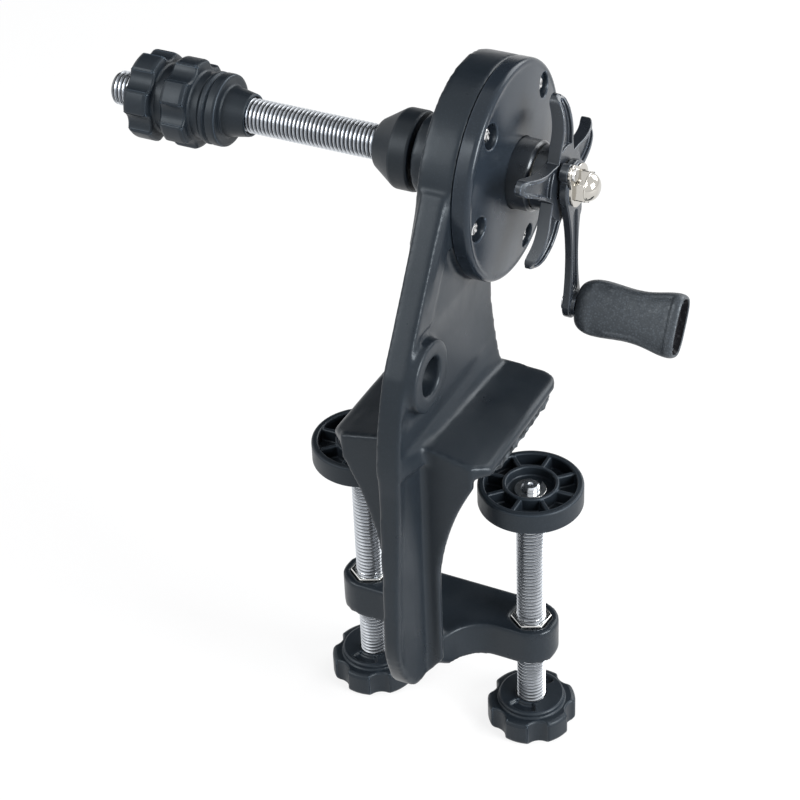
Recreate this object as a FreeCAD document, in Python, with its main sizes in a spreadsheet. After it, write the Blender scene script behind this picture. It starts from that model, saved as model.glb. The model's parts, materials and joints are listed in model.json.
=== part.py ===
import FreeCAD, Part
import math
import os

import Sketcher

# Line winder with a table clamp. Lengths are millimetres.
# Origin: centre of the jaw seat. +X: along the head axis towards the crank.
# +Y: from the arm into the clamp throat. +Z: up.

os.makedirs("parts", exist_ok=True)
doc = FreeCAD.newDocument("LineWinder")
sheet = doc.addObject("Spreadsheet::Sheet", "Sizes")
Vector = FreeCAD.Vector
Rotation = FreeCAD.Rotation


class Size:
    """A number with the formula that the document works it out by."""

    def __init__(self, value, formula):
        self.value = value
        self.formula = formula

    def __add__(self, other):
        other = as_size(other)
        return Size(self.value + other.value, f"({self.formula} + {other.formula})")

    def __sub__(self, other):
        other = as_size(other)
        return Size(self.value - other.value, f"({self.formula} - {other.formula})")

    def __mul__(self, other):
        other = as_size(other)
        return Size(self.value * other.value, f"({self.formula} * {other.formula})")

    def __truediv__(self, other):
        other = as_size(other)
        return Size(self.value / other.value, f"({self.formula} / {other.formula})")

    def __radd__(self, other):
        return as_size(other) + self

    def __rsub__(self, other):
        return as_size(other) - self

    def __rmul__(self, other):
        return as_size(other) * self

    def __neg__(self):
        return Size(-self.value, f"(0 - {self.formula})")


def as_size(number):
    return number if isinstance(number, Size) else Size(float(number), f"({float(number):.6f})")


def size(name, value):
    """Write one driving size to the sheet and return it."""
    row = len(sheet.getUsedCells()) + 1
    cell = f"A{row}"
    sheet.set(cell, str(value))
    sheet.setAlias(cell, name)
    return Size(float(value), f"Sizes.{name}")


# Fits
running_gap = size("running_gap", 0.05)
face_gap = size("face_gap", 0.1)
sliding_gap = size("sliding_gap", 0.08)

# Head axis, gear cup and its boss
head_y = size("head_y", 33.5)
head_z = size("head_z", 81.5)
cup_back = size("cup_back", -6.4)
cup_floor = size("cup_floor", 3.8)
cup_depth = size("cup_depth", 12.2)
cup_wall = size("cup_wall", 3.54)
boss_radius = size("boss_radius", 13.6)
boss_length = size("boss_length", 13.4)
bush_wall = size("bush_wall", 2.0)

# Gear train
gear_module = size("gear_module", 1.1)
ring_teeth = 45
sun_teeth = 15
planet_teeth = 15
planet_count = 3
pressure_angle = 25.0
addendum = 0.85
dedendum = 1.1
gear_backlash = size("gear_backlash", 0.22)
ring_wall = size("ring_wall", 7.05)
gear_width = size("gear_width", 5.4)
gear_end_gap = size("gear_end_gap", 0.4)
carrier_thickness = size("carrier_thickness", 3.0)
carrier_rim_gap = size("carrier_rim_gap", 1.4)
planet_pin_radius = size("planet_pin_radius", 2.5)
spindle_nose_radius = size("spindle_nose_radius", 4.0)
spindle_nose_length = size("spindle_nose_length", 5.4)

# Gear cover and its screws
cover_edge = size("cover_edge", 3.87)
cover_bevel = size("cover_bevel", 2.3)
cover_dome = size("cover_dome", 3.6)
cover_screw_inset = size("cover_screw_inset", 6.6)
cover_screw_rise = size("cover_screw_rise", 2.0)
cover_screw_angles = (42.0, 130.0, 189.0, 286.0, 345.0)
counterbore_radius = size("counterbore_radius", 4.15)
counterbore_floor = size("counterbore_floor", 2.1)
screw_radius = size("screw_radius", 1.5)
screw_head_radius = size("screw_head_radius", 2.8)
screw_head_height = size("screw_head_height", 2.0)
screw_length = size("screw_length", 13.4)
collar_wall = size("collar_wall", 3.3)

# Crank hub, star wheel and crank arm
washer_thickness = size("washer_thickness", 0.7)
hub_radius = size("hub_radius", 11.7)
hub_length = size("hub_length", 13.7)
sleeve_radius = size("sleeve_radius", 6.0)
drag_washer_radius = size("drag_washer_radius", 9.5)
drag_washer_thickness = size("drag_washer_thickness", 0.4)
star_thickness = size("star_thickness", 8.4)
star_hub_radius = size("star_hub_radius", 10.6)
star_flat_radius = size("star_flat_radius", 14.0)
star_tip_radius = size("star_tip_radius", 29.6)
star_dish = size("star_dish", 5.6)
star_plate = size("star_plate", 4.3)
star_root_half = size("star_root_half", 6.6)
star_middle_half = size("star_middle_half", 4.2)
star_tip_half = size("star_tip_half", 2.7)
star_rim = size("star_rim", 1.3)
star_slot_start = size("star_slot_start", 12.5)
star_arms = 5
star_first_tip = 13.0
slot_depth = size("slot_depth", 1.2)
slot_border = size("slot_border", 1.6)
star_gap = size("star_gap", 0.8)
arm_plate = size("arm_plate", 2.7)
crank_throw = size("crank_throw", 45.2)
crank_eye_radius = size("crank_eye_radius", 8.0)
crank_waist = size("crank_waist", 3.2)
crank_knob_end = size("crank_knob_end", 5.2)
eye_step = size("eye_step", 0.35)
stud_radius = size("stud_radius", 3.0)
stud_length = size("stud_length", 8.0)
nut_flats = size("nut_flats", 10.0)
nut_height = size("nut_height", 7.6)
nut_cap_height = size("nut_cap_height", 3.4)
retainer_thickness = size("retainer_thickness", 1.0)
retainer_radius = size("retainer_radius", 7.2)
retainer_reach = size("retainer_reach", 8.6)
retainer_tail = size("retainer_tail", 3.0)
retainer_angle = size("retainer_angle", 128.0)
retainer_screw_radius = size("retainer_screw_radius", 1.1)

# Knob
knob_start = size("knob_start", 34.2)
knob_length = size("knob_length", 35.5)
knob_pin_radius = size("knob_pin_radius", 2.5)
knob_pin_head = size("knob_pin_head", 3.1)
pin_head_height = size("pin_head_height", 1.0)
knob_spacer_radius = size("knob_spacer_radius", 4.6)
knob_bore_length = size("knob_bore_length", 29.0)
knob_recess_depth = size("knob_recess_depth", 2.4)
knob_cap_thickness = size("knob_cap_thickness", 1.1)
knob_cap_height = size("knob_cap_height", 8.2)
knob_cap_width = size("knob_cap_width", 3.5)
knob_small = size("knob_small", 5.2)
knob_bulb = size("knob_bulb", 7.7)
knob_waist = size("knob_waist", 7.3)
knob_end = size("knob_end", 9.8)
knob_half_thickness = size("knob_half_thickness", 5.6)
knob_lean = 31.3

# Spindle, cones and lock nuts
spindle_radius = size("spindle_radius", 6.0)
spindle_end = size("spindle_end", -137.0)
cone_gap = size("cone_gap", 1.0)
drive_cone_flat = size("drive_cone_flat", 6.8)
drive_cone_taper = size("drive_cone_taper", 8.4)
drive_nose_radius = size("drive_nose_radius", 8.1)
cone_nose_radius = size("cone_nose_radius", 7.5)
sliding_nose_x = size("sliding_nose_x", -84.0)
sliding_taper = size("sliding_taper", 8.5)
sliding_neck_radius = size("sliding_neck_radius", 8.8)
sliding_flange = size("sliding_flange", 6.6)
sliding_flange_radius = size("sliding_flange_radius", 12.5)
flange_groove = size("flange_groove", 0.8)
nut_collar_radius = size("nut_collar_radius", 11.6)
nut_collar_length = size("nut_collar_length", 4.0)
lobe_radius = size("lobe_radius", 15.4)
lobe_length = size("lobe_length", 9.5)
lobe_count = 6
notch_radius = size("notch_radius", 5.0)
notch_depth = size("notch_depth", 2.3)
outer_nut_space = size("outer_nut_space", 0.3)

# Arm
rim_depth = size("rim_depth", 5.0)
rim_half_top = size("rim_half_top", 4.4)
rim_half_foot = size("rim_half_foot", 3.0)
web_half = size("web_half", 3.3)
web_half_jaw = size("web_half_jaw", 8.0)
web_half_flare = size("web_half_flare", 4.0)
web_flare_z = size("web_flare_z", 23.0)
arm_back = size("arm_back", 32.4)
arm_front_jaw = size("arm_front_jaw", -42.6)
arm_front_low = size("arm_front_low", -46.2)
arm_top_rise = size("arm_top_rise", 9.0)
arm_shoulder_y = size("arm_shoulder_y", -35.0)
arm_shoulder_z = size("arm_shoulder_z", 41.0)
arm_bend_y = size("arm_bend_y", -41.0)
arm_bend_z = size("arm_bend_z", 22.5)
arm_low_z = size("arm_low_z", -60.4)
heel_y = size("heel_y", -42.6)
heel_z = size("heel_z", -77.4)
toe_y = size("toe_y", -29.6)
foot_z = size("foot_z", -92.4)
ring_boss_y = size("ring_boss_y", -22.9)
ring_boss_z = size("ring_boss_z", 36.3)
ring_boss_radius = size("ring_boss_radius", 12.3)
ring_boss_reach = size("ring_boss_reach", 7.4)
ring_hole_radius = size("ring_hole_radius", 6.5)
flank_half = size("flank_half", 5.8)
channel_half = size("channel_half", 3.4)
channel_depth = size("channel_depth", 6.0)

# Jaw, gusset and rubber pad
jaw_half = size("jaw_half", 28.2)
jaw_front = size("jaw_front", -29.6)
jaw_back = size("jaw_back", 33.0)
jaw_pad_thickness = size("jaw_pad_thickness", 4.0)
jaw_edge_front = size("jaw_edge_front", 8.0)
jaw_edge_back = size("jaw_edge_back", 6.5)
jaw_ridge_front = size("jaw_ridge_front", 13.0)
jaw_ridge_back = size("jaw_ridge_back", 7.5)
jaw_ridge_half_front = size("jaw_ridge_half_front", 5.0)
jaw_ridge_half_back = size("jaw_ridge_half_back", 8.5)
jaw_corner = size("jaw_corner", 7.0)
jaw_front_corner = size("jaw_front_corner", 5.0)
jaw_pad_tooth = size("jaw_pad_tooth", 1.6)
jaw_pad_teeth = 9
gusset_wall = size("gusset_wall", 3.0)
gusset_half = size("gusset_half", 23.3)
column_back = size("column_back", -19.6)
column_half = size("column_half", 10.6)
gusset_low_z = size("gusset_low_z", -40.0)

# Lower plate and clamp screws
plate_top = size("plate_top", -74.0)
plate_thickness = size("plate_thickness", 14.0)
plate_back = size("plate_back", 9.2)
clamp_x = size("clamp_x", 31.1)
lug_radius = size("lug_radius", 9.7)
rod_radius = size("rod_radius", 5.0)
rod_hole_gap = size("rod_hole_gap", 0.4)
clamp_nut_flats = size("clamp_nut_flats", 12.4)
clamp_nut_height = size("clamp_nut_height", 7.0)
clamp_nut_proud = size("clamp_nut_proud", 0.5)
clamp_nut_turn = 24.0
pad_top = size("pad_top", -15.0)
pad_height = size("pad_height", 7.8)
pad_radius = size("pad_radius", 17.8)
pad_rim = size("pad_rim", 2.3)
pad_ring_outer = size("pad_ring_outer", 9.5)
pad_ring_inner = size("pad_ring_inner", 8.2)
pad_floor = size("pad_floor", 3.0)
pad_hub_depth = size("pad_hub_depth", 3.5)
pad_spokes = 8
spoke_width = size("spoke_width", 1.6)
neck_radius = size("neck_radius", 3.0)
neck_drop = size("neck_drop", 0.7)
clip_radius = size("clip_radius", 5.4)
clip_thickness = size("clip_thickness", 0.8)
knob_top = size("knob_top", -109.8)
clamp_collar_height = size("clamp_collar_height", 2.2)
clamp_knob_radius = size("clamp_knob_radius", 15.6)
clamp_lobe_height = size("clamp_lobe_height", 9.5)
clamp_knob_floor = size("clamp_knob_floor", 2.0)
clamp_knob_turn = 32.0

doc.recompute()

# Places along the head axis that follow from the sizes
parting = cup_back + cup_depth
floor_x = cup_back + cup_floor
boss_end = cup_back - boss_length
train_start = floor_x + gear_end_gap
train_end = train_start + gear_width
carrier_back = train_end + gear_end_gap
carrier_front = carrier_back + carrier_thickness
collar_face = carrier_front + washer_thickness + face_gap * 2
hub_face = carrier_front + hub_length
star_back = hub_face + drag_washer_thickness + face_gap
star_front = star_back + star_thickness
plate_back_x = star_front + star_gap
plate_front_x = plate_back_x + arm_plate
eye_face = plate_front_x + eye_step
nut_end = eye_face + nut_height
knob_pin_z = head_z - crank_throw
drive_back = boss_end - cone_gap
flange_end = sliding_nose_x - sliding_taper - sliding_flange
pad_bottom = pad_top - pad_height
rod_bore = rod_radius + rod_hole_gap
rod_end = knob_top - clamp_collar_height - clamp_lobe_height + clamp_knob_floor
plate_low = plate_top - plate_thickness
gear_centres = gear_module * ((sun_teeth + planet_teeth) / 2)
ring_root = gear_module * (ring_teeth / 2 + dedendum)
ring_tip = gear_module * (ring_teeth / 2 - addendum)
ring_outer = ring_root + ring_wall
cup_radius = ring_outer + running_gap + cup_wall
cover_face_radius = cup_radius - cover_bevel
cover_screw_circle = cup_radius - cover_screw_inset
carrier_radius = ring_tip - carrier_rim_gap


def bind(thing, **formulas):
    """Tie properties of an object to formulas; a double underscore stands for a dot."""
    for name, amount in formulas.items():
        thing.setExpression(name.replace("__", "."), as_size(amount).formula)


def place(thing, x=0, y=0, z=0, turn=None):
    """Put an object at a place that follows the sheet."""
    if turn is not None:
        thing.Placement = FreeCAD.Placement(Vector(0, 0, 0), turn)
    bind(thing, Placement__Base__x=x, Placement__Base__y=y, Placement__Base__z=z)
    return thing


def add(kind, name, **formulas):
    thing = doc.addObject(kind, name)
    bind(thing, **formulas)
    return thing


def finish(thing, name):
    thing.Label = name
    nodes.append(thing)
    return thing


nodes = []
VIEW_TURN = {
    "plan": Rotation(Vector(0, 0, 1), 0),
    "front": Rotation(Vector(1, 0, 0), 90),
    "side": Rotation(Vector(1, 1, 1), 120),
}
VIEW_NORMAL = {"plan": Vector(0, 0, 1), "front": Vector(0, 1, 0), "side": Vector(1, 0, 0)}
ALONG_X = Rotation(Vector(0, 1, 0), 90)
ALONG_Z = Rotation(Vector(0, 0, 1), 0)


def draw(sketch, start, *steps):
    """Draw a closed outline. A step is the next corner, or a point on an arc and the arc's end."""
    here = start
    marks = []
    for step in steps:
        is_arc = isinstance(step[0], tuple)
        middle, end = step if is_arc else (None, step)
        a, b = flat(here), flat(end)
        if is_arc:
            m = flat(middle)
            turns_left = (m - a).cross(b - m).z > 0
            ends = (a, b) if turns_left else (b, a)
            curve = sketch.addGeometry(Part.ArcOfCircle(ends[0], m, ends[1]), False)
            dot = sketch.addGeometry(Part.Point(m), True)
            pin_point(sketch, dot, 1, middle)
            sketch.addConstraint(Sketcher.Constraint("PointOnObject", dot, 1, curve))
            marks.append((curve, 1, 2) if turns_left else (curve, 2, 1))
        else:
            curve = sketch.addGeometry(Part.LineSegment(a, b), False)
            marks.append((curve, 1, 2))
        pin_point(sketch, curve, marks[-1][1], here)
        here = end
    for first, second in zip(marks, marks[1:] + marks[:1]):
        sketch.addConstraint(Sketcher.Constraint("Coincident", first[0], first[2], second[0], second[1]))
    return sketch


def flat(point):
    return Vector(as_size(point[0]).value, as_size(point[1]).value, 0)


def pin_point(sketch, curve, end, point):
    """Hold one point of a sketch at two sheet-driven distances from its origin."""
    for direction, amount in zip(("DistanceX", "DistanceY"), point):
        amount = as_size(amount)
        rule = Sketcher.Constraint(direction, -1, 1, curve, end, amount.value)
        index = sketch.addConstraint(rule)
        if "Sizes" in amount.formula:
            sketch.setExpression(f"Constraints[{index}]", amount.formula)


def circle(sketch, centre, radius):
    curve = sketch.addGeometry(Part.Circle(flat(centre), Vector(0, 0, 1), radius.value), False)
    pin_point(sketch, curve, 3, centre)
    index = sketch.addConstraint(Sketcher.Constraint("Radius", curve, radius.value))
    sketch.setExpression(f"Constraints[{index}]", radius.formula)
    return sketch


def sketch_in(view, at=0):
    """A free sketch in one of the three views, at a place along that view's normal."""
    sketch = doc.addObject("Sketcher::SketchObject", "Outline")
    shift = VIEW_NORMAL[view]
    amount = as_size(at)
    place(sketch, amount * shift.x, amount * shift.y, amount * shift.z, VIEW_TURN[view])
    return sketch


def slab(view, low, high, start, *steps):
    """Extrude an outline drawn in one view from low to high along the view's normal."""
    low, high = as_size(low), as_size(high)
    sketch = draw(sketch_in(view, low), start, *steps)
    block = doc.addObject("Part::Extrusion", "Slab")
    block.Base = sketch
    block.DirMode = "Custom"
    block.Dir = VIEW_NORMAL[view]
    block.Solid = True
    bind(block, LengthFwd=high - low)
    return block


def rod(axis, low, high, radius, x=0, y=0, z=0):
    """A plain cylinder along X or Z from low to high."""
    low, high = as_size(low), as_size(high)
    cylinder = add("Part::Cylinder", "Rod", Radius=radius, Height=high - low)
    if axis == "x":
        return place(cylinder, low + x, y, z, ALONG_X)
    return place(cylinder, x, y, low + z, ALONG_Z)


def head_rod(low, high, radius):
    return rod("x", low, high, radius, 0, head_y, head_z)


def fuse(*things):
    union = doc.addObject("Part::MultiFuse", "Union")
    union.Shapes = list(things)
    return union


def common(*things):
    overlap = doc.addObject("Part::MultiCommon", "Overlap")
    overlap.Shapes = list(things)
    return overlap


def cut(base, *tools):
    rest = doc.addObject("Part::Cut", "Cut")
    rest.Base = base
    rest.Tool = tools[0] if len(tools) == 1 else fuse(*tools)
    return rest


def origin_plane(body, role):
    return next(plane for plane in body.Origin.OriginFeatures if plane.Role == role)


def body_sketch(body, role, shift=0):
    """A sketch on one of the body's own origin planes, moved along that plane's normal."""
    sketch = body.newObject("Sketcher::SketchObject", "Profile")
    sketch.AttachmentSupport = [(origin_plane(body, role), "")]
    sketch.MapMode = "FlatFace"
    bind(sketch, AttachmentOffset__Base__z=shift)
    return sketch


def turned(name, along, start, *steps, at=(0, 0, 0)):
    """A turned piece: the profile is (along, radius) for X and (radius, along) for Z."""
    body = doc.addObject("PartDesign::Body", "Body")
    sketch = draw(body_sketch(body, "XZ_Plane"), start, *steps)
    doc.recompute()
    revolve = body.newObject("PartDesign::Revolution", "Revolve")
    revolve.Profile = sketch
    revolve.ReferenceAxis = (sketch, ["H_Axis" if along == "x" else "V_Axis"])
    revolve.Angle = 360
    place(body, *at)
    return finish(body, name)


AT_HEAD = (0, head_y, head_z)


def ring_profile(low, high, inner, outer):
    """The four corners of a plain ring round the head axis."""
    return (low, inner), (high, inner), (high, outer), (low, outer), (low, inner)


def repeat(body, feature, axis_role, count):
    """Repeat one feature evenly round an origin axis of its body."""
    pattern = body.newObject("PartDesign::PolarPattern", "Pattern")
    pattern.Originals = [feature]
    axis = next(line for line in body.Origin.OriginFeatures if line.Role == axis_role)
    pattern.Axis = (axis, [""])
    pattern.Angle = 360
    pattern.Occurrences = count
    body.Tip = pattern
    return pattern


def polar(radius, angle):
    """A point at a sheet-driven radius and a fixed angle in degrees."""
    turn = math.radians(angle)
    return radius * math.cos(turn), radius * math.sin(turn)


# Arm frame

def mirrored(points):
    """The points and their mirror images across the middle plane, as one closed outline."""
    other_side = [(-u, v) for u, v in reversed(points)]
    outline = list(points) + other_side
    return outline + outline[:1]


def arm_front(inset):
    """The front edge of the arm from the cup down to the foot, moved back by an inset."""
    return (
        (head_y - cup_radius + inset, head_z + arm_top_rise),
        (arm_shoulder_y + inset, arm_shoulder_z),
        ((arm_bend_y + inset, arm_bend_z), (arm_front_jaw + inset, 0)),
        (arm_front_low + inset, arm_low_z),
        ((heel_y + inset, heel_z), (toe_y, foot_z + inset)),
    )


def arm_side_outline():
    """The side view of the arm, from the cup down the front and up the back of the column."""
    front = arm_front(0)
    back = (
        (column_back, plate_low),
        (column_back, jaw_edge_back),
        (jaw_back - 3, jaw_edge_back),
        ((arm_back + 0.2, jaw_edge_back + 14), (arm_back + 1.4, head_z - cup_radius + 0.6)),
        (head_y, head_z),
    )
    return front + back + front[:1]


def arm_rim():
    """The front flange: a band along the front edge that narrows towards the foot."""
    outer = arm_front(0)
    inner = arm_front(rim_depth)
    top, shoulder, (bend, jaw), low, (heel, toe) = inner
    band = slab(
        "side", -rim_half_top, rim_half_top, *outer,
        toe, (heel, low), jaw, (bend, shoulder), top, outer[0],
    )
    half_widths = (
        (rim_half_foot, foot_z - 1),
        (rim_half_foot, foot_z + 50),
        (rim_half_top * 0.95, jaw_edge_front + 12),
        (rim_half_top, head_z + 12),
    )
    taper = slab("front", arm_front_low - 2, head_y, *mirrored(half_widths))
    return common(band, taper)


def arm_web():
    """The web behind the flange: it widens in a curve where it lands on the jaw."""
    right = [(web_half_jaw, jaw_edge_back), (web_half_jaw, jaw_ridge_back),
             ((web_half_flare, web_flare_z), (web_half, arm_shoulder_z + 8)),
             (web_half, head_z)]
    left = [(-web_half, head_z), (-web_half, arm_shoulder_z + 8),
            ((-web_half_flare, web_flare_z), (-web_half_jaw, jaw_ridge_back)),
            (-web_half_jaw, jaw_edge_back)]
    face = slab("front", arm_front_low, jaw_back + 10, *right, *left, right[0])
    side = slab("side", -web_half_jaw * 2, web_half_jaw * 2, *arm_side_outline())
    return common(fuse(face, column()), side)


def column():
    """The post under the web, from the lower plate up to the jaw, with a channel open at its back."""
    post = slab(
        "plan", plate_low, jaw_ridge_front,
        (-rim_half_foot, arm_front_jaw), (rim_half_foot, arm_front_jaw),
        (flank_half, jaw_front), (flank_half, column_back),
        (-flank_half, column_back), (-flank_half, jaw_front),
        (-rim_half_foot, arm_front_jaw),
    )
    channel = slab(
        "plan", plate_top, -channel_half,
        (-channel_half, column_back - channel_depth), (channel_half, column_back - channel_depth),
        (channel_half, column_back + 1), (-channel_half, column_back + 1),
        (-channel_half, column_back - channel_depth),
    )
    return cut(post, channel)


def gusset():
    """A thin plate across the post: jaw width at the top, narrow below, a hollow curve between."""
    top = jaw_edge_front - 1
    return slab(
        "front", jaw_front, jaw_front + gusset_wall,
        (-column_half, plate_low), (column_half, plate_low), (column_half, gusset_low_z),
        ((gusset_half * 0.69, gusset_low_z * 0.4), (gusset_half, 0)),
        (gusset_half, top), (-gusset_half, top), (-gusset_half, 0),
        ((gusset_half * -0.69, gusset_low_z * 0.4), (-column_half, gusset_low_z)),
        (-column_half, plate_low),
    )


def jaw():
    """The upper jaw, which thins towards its free end and has rounded back corners."""
    sections = []
    for place_y, edge, ridge, ridge_half in (
        (jaw_front, jaw_edge_front, jaw_ridge_front, jaw_ridge_half_front),
        (jaw_back, jaw_edge_back, jaw_ridge_back, jaw_ridge_half_back),
    ):
        half = ((jaw_half, jaw_pad_thickness), (jaw_half, edge - 1), (jaw_half - 1.2, edge),
                (jaw_half * 0.77, edge + (ridge - edge) * 0.3), (ridge_half, ridge))
        sections.append(draw(sketch_in("front", place_y), *mirrored(half)))
    loft = doc.addObject("Part::Loft", "Loft")
    loft.Sections = sections
    loft.Solid = True
    loft.Ruled = True
    return common(loft, slab("plan", 0, jaw_ridge_front + 2, *jaw_plan(as_size(0))))


def jaw_plan(inset):
    """The plan of the jaw: cut corners at the front, round corners at the back."""
    side = jaw_half - inset
    narrow = side - jaw_front_corner
    bend = jaw_corner * 0.293
    back = jaw_back - inset
    return (
        (-narrow, jaw_front), (narrow, jaw_front), (side, jaw_front + jaw_front_corner),
        (side, back - jaw_corner),
        ((side - bend, back - bend), (side - jaw_corner, back)),
        (jaw_corner - side, back),
        ((bend - side, back - bend), (-side, back - jaw_corner)),
        (-side, jaw_front + jaw_front_corner), (-narrow, jaw_front),
    )


def lower_plate():
    """The plate that holds the two clamp nuts, one lug at each end."""
    tip = clamp_x + lug_radius
    fillet_x = column_half + 1.4
    return slab(
        "plan", plate_low, plate_top,
        (-clamp_x, plate_back), (clamp_x, plate_back),
        ((tip, 0), (clamp_x, -lug_radius)),
        (clamp_x - 7, -lug_radius),
        ((fillet_x + 4, -lug_radius - 1.8), (fillet_x - 3, jaw_front * 0.68)),
        (flank_half, jaw_front), (-flank_half, jaw_front),
        (3 - fillet_x, jaw_front * 0.68),
        ((-fillet_x - 4, -lug_radius - 1.8), (7 - clamp_x, -lug_radius)),
        (-clamp_x, -lug_radius),
        ((-tip, 0), (-clamp_x, plate_back)),
    )


def hexagon(axis, flats, low, high, x=0, y=0, z=0, turn=0.0):
    """A six-sided prism, its size given across the flats."""
    low, high = as_size(low), as_size(high)
    prism = add("Part::Prism", "Hexagon", Circumradius=flats / math.sqrt(3), Height=high - low)
    prism.Polygon = 6
    if axis == "x":
        return place(prism, low + x, y, z, ALONG_X)
    return place(prism, x, y, low + z, Rotation(Vector(0, 0, 1), turn))


def arm_frame():
    cup = head_rod(cup_back, parting, cup_radius)
    boss = head_rod(boss_end, cup_back + 1, boss_radius)
    ring_boss = rod("x", -rim_half_top, ring_boss_reach, ring_boss_radius, 0, ring_boss_y, ring_boss_z)
    solid = fuse(cup, boss, arm_web(), arm_rim(), ring_boss, gusset(), jaw(), lower_plate())
    cavity = head_rod(floor_x, parting + 1, ring_outer + running_gap)
    bush_bore = head_rod(boss_end - 1, floor_x + 1, spindle_radius + bush_wall)
    ring_hole = rod("x", -rim_half_top - 1, ring_boss_reach + 1, ring_hole_radius, 0, ring_boss_y, ring_boss_z)
    tools = [cavity, bush_bore, ring_hole]
    for angle in cover_screw_angles:
        y, z = polar(cover_screw_circle, angle)
        tools.append(rod("x", cup_back + 0.5, floor_x + 1, screw_radius, 0, head_y + y, head_z + z))
    for side in (-1, 1):
        tools.append(rod("z", plate_low - 1, plate_top + 1, rod_bore, clamp_x * side))
        tools.append(hexagon("z", clamp_nut_flats + face_gap, plate_top + clamp_nut_proud - clamp_nut_height,
                             plate_top + 1, clamp_x * side, turn=clamp_nut_turn))
    finish(cut(solid, *tools), "arm_frame")


def jaw_pad():
    """The rubber sheet bonded under the jaw, with teeth along both long edges."""
    sheet_block = slab("plan", 0, jaw_pad_thickness, *jaw_plan(jaw_pad_tooth / 2))
    front_trim = slab("plan", -1, jaw_pad_thickness + 1,
                      (-jaw_half, jaw_front - 1), (jaw_half, jaw_front - 1),
                      (jaw_half, column_back), (-jaw_half, column_back), (-jaw_half, jaw_front - 1))
    tools = [front_trim]
    span = jaw_back - jaw_corner - column_back
    for side in (-1, 1):
        for number in range(jaw_pad_teeth):
            y = column_back + span * ((number + 0.6) / jaw_pad_teeth)
            edge = (jaw_half - jaw_pad_tooth / 2) * side
            tools.append(rod("z", -1, jaw_pad_thickness * 0.6, jaw_pad_tooth * 0.8, edge, y))
    finish(cut(sheet_block, *tools), "jaw_pad")


# Gear train

def involute(angle):
    return math.tan(angle) - angle


def half_tooth_angle(teeth, radius, is_inner):
    """Half the angle that a tooth takes at a radius, thinned by the backlash."""
    pitch_radius = gear_module.value * teeth / 2
    pressure = math.radians(pressure_angle)
    at_pitch = (math.pi / 2 - gear_backlash.value / (2 * gear_module.value)) / teeth
    local_pressure = math.acos(min(1.0, pitch_radius * math.cos(pressure) / radius))
    lean = involute(pressure) - involute(local_pressure)
    return at_pitch - lean if is_inner else at_pitch + lean


def gear_outline(teeth, tip_radius, root_radius, phase, is_inner=False):
    """The closed outline of a gear: every flank is an arc through three involute points."""
    base_radius = gear_module.value * teeth / 2 * math.cos(math.radians(pressure_angle))
    foot_radius = root_radius if is_inner else max(root_radius, base_radius)
    flank_radii = (foot_radius, (foot_radius + tip_radius) / 2, tip_radius)
    half_angles = [half_tooth_angle(teeth, radius, is_inner) for radius in flank_radii]
    pitch = 2 * math.pi / teeth
    edges = []
    for tooth in range(teeth):
        centre = math.radians(phase) + pitch * tooth
        rise = [polar_vector(r, centre - a) for r, a in zip(flank_radii, half_angles)]
        fall = [polar_vector(r, centre + a) for r, a in zip(flank_radii, half_angles)][::-1]
        land_turns = (centre + half_angles[0], centre + pitch / 2, centre + pitch - half_angles[0])
        land = [polar_vector(root_radius, turn) for turn in land_turns]
        edges.append(Part.Arc(*rise).toShape())
        edges.append(Part.Arc(rise[2], polar_vector(tip_radius, centre), fall[0]).toShape())
        edges.append(Part.Arc(*fall).toShape())
        if foot_radius > root_radius:
            edges.append(Part.LineSegment(fall[2], land[0]).toShape())
        edges.append(Part.Arc(*land).toShape())
        if foot_radius > root_radius:
            edges.append(Part.LineSegment(land[2], polar_vector(foot_radius, land_turns[2])).toShape())
    return Part.Wire(edges)


def polar_vector(radius, angle):
    return Vector(radius * math.cos(angle), radius * math.sin(angle), 0)


def gear_blank(low, high, y, z, *wires):
    """A gear along X from closed outlines, one inside the other."""
    gear = doc.addObject("Part::Feature", "Gear")
    face = Part.makeFace(list(wires), "Part::FaceMakerBullseye")
    gear.Shape = face.extrude(Vector(0, 0, high.value - low.value))
    return place(gear, low, head_y + y, head_z + z, VIEW_TURN["side"])


def outer_gear(name, teeth, phase, bore, y=0, z=0):
    unit = gear_module.value
    rim = gear_outline(teeth, unit * (teeth / 2 + addendum), unit * (teeth / 2 - dedendum), phase)
    hole = Part.Wire(Part.Circle(Vector(0, 0, 0), Vector(0, 0, 1), bore.value).toShape())
    finish(gear_blank(train_start, train_end, y, z, rim, hole), name)


def ring_gear():
    """The fixed ring, clamped in the cup by the cover screws that pass through its rim."""
    inner = gear_outline(ring_teeth, ring_tip.value, ring_root.value, 180.0 / ring_teeth, is_inner=True)
    rim = Part.Wire(Part.Circle(Vector(0, 0, 0), Vector(0, 0, 1), ring_outer.value).toShape())
    blank = gear_blank(floor_x, parting, as_size(0), as_size(0), rim, inner)
    holes = []
    for angle in cover_screw_angles:
        y, z = polar(cover_screw_circle, angle)
        holes.append(rod("x", floor_x - 1, parting + 1, screw_radius + face_gap, 0, head_y + y, head_z + z))
    finish(cut(blank, *holes), "ring_gear")


def planet_place(number):
    return polar(gear_centres, 360.0 * number / planet_count)


def gear_train():
    ring_gear()
    outer_gear("sun_gear", sun_teeth, 0.0, spindle_radius + running_gap)
    for number in range(planet_count):
        angle = 360.0 * number / planet_count
        y, z = planet_place(number)
        phase = 2 * angle + 180.0 + 180.0 / planet_teeth
        outer_gear(f"planet_gear_{number + 1}", planet_teeth, phase, planet_pin_radius + running_gap, y, z)
    pins = []
    for number in range(planet_count):
        y, z = planet_place(number)
        pins.append(rod("x", train_start, carrier_front, planet_pin_radius, 0, head_y + y, head_z + z))
    finish(fuse(*pins), "planet_pins")


# Housing pieces on the head axis

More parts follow.
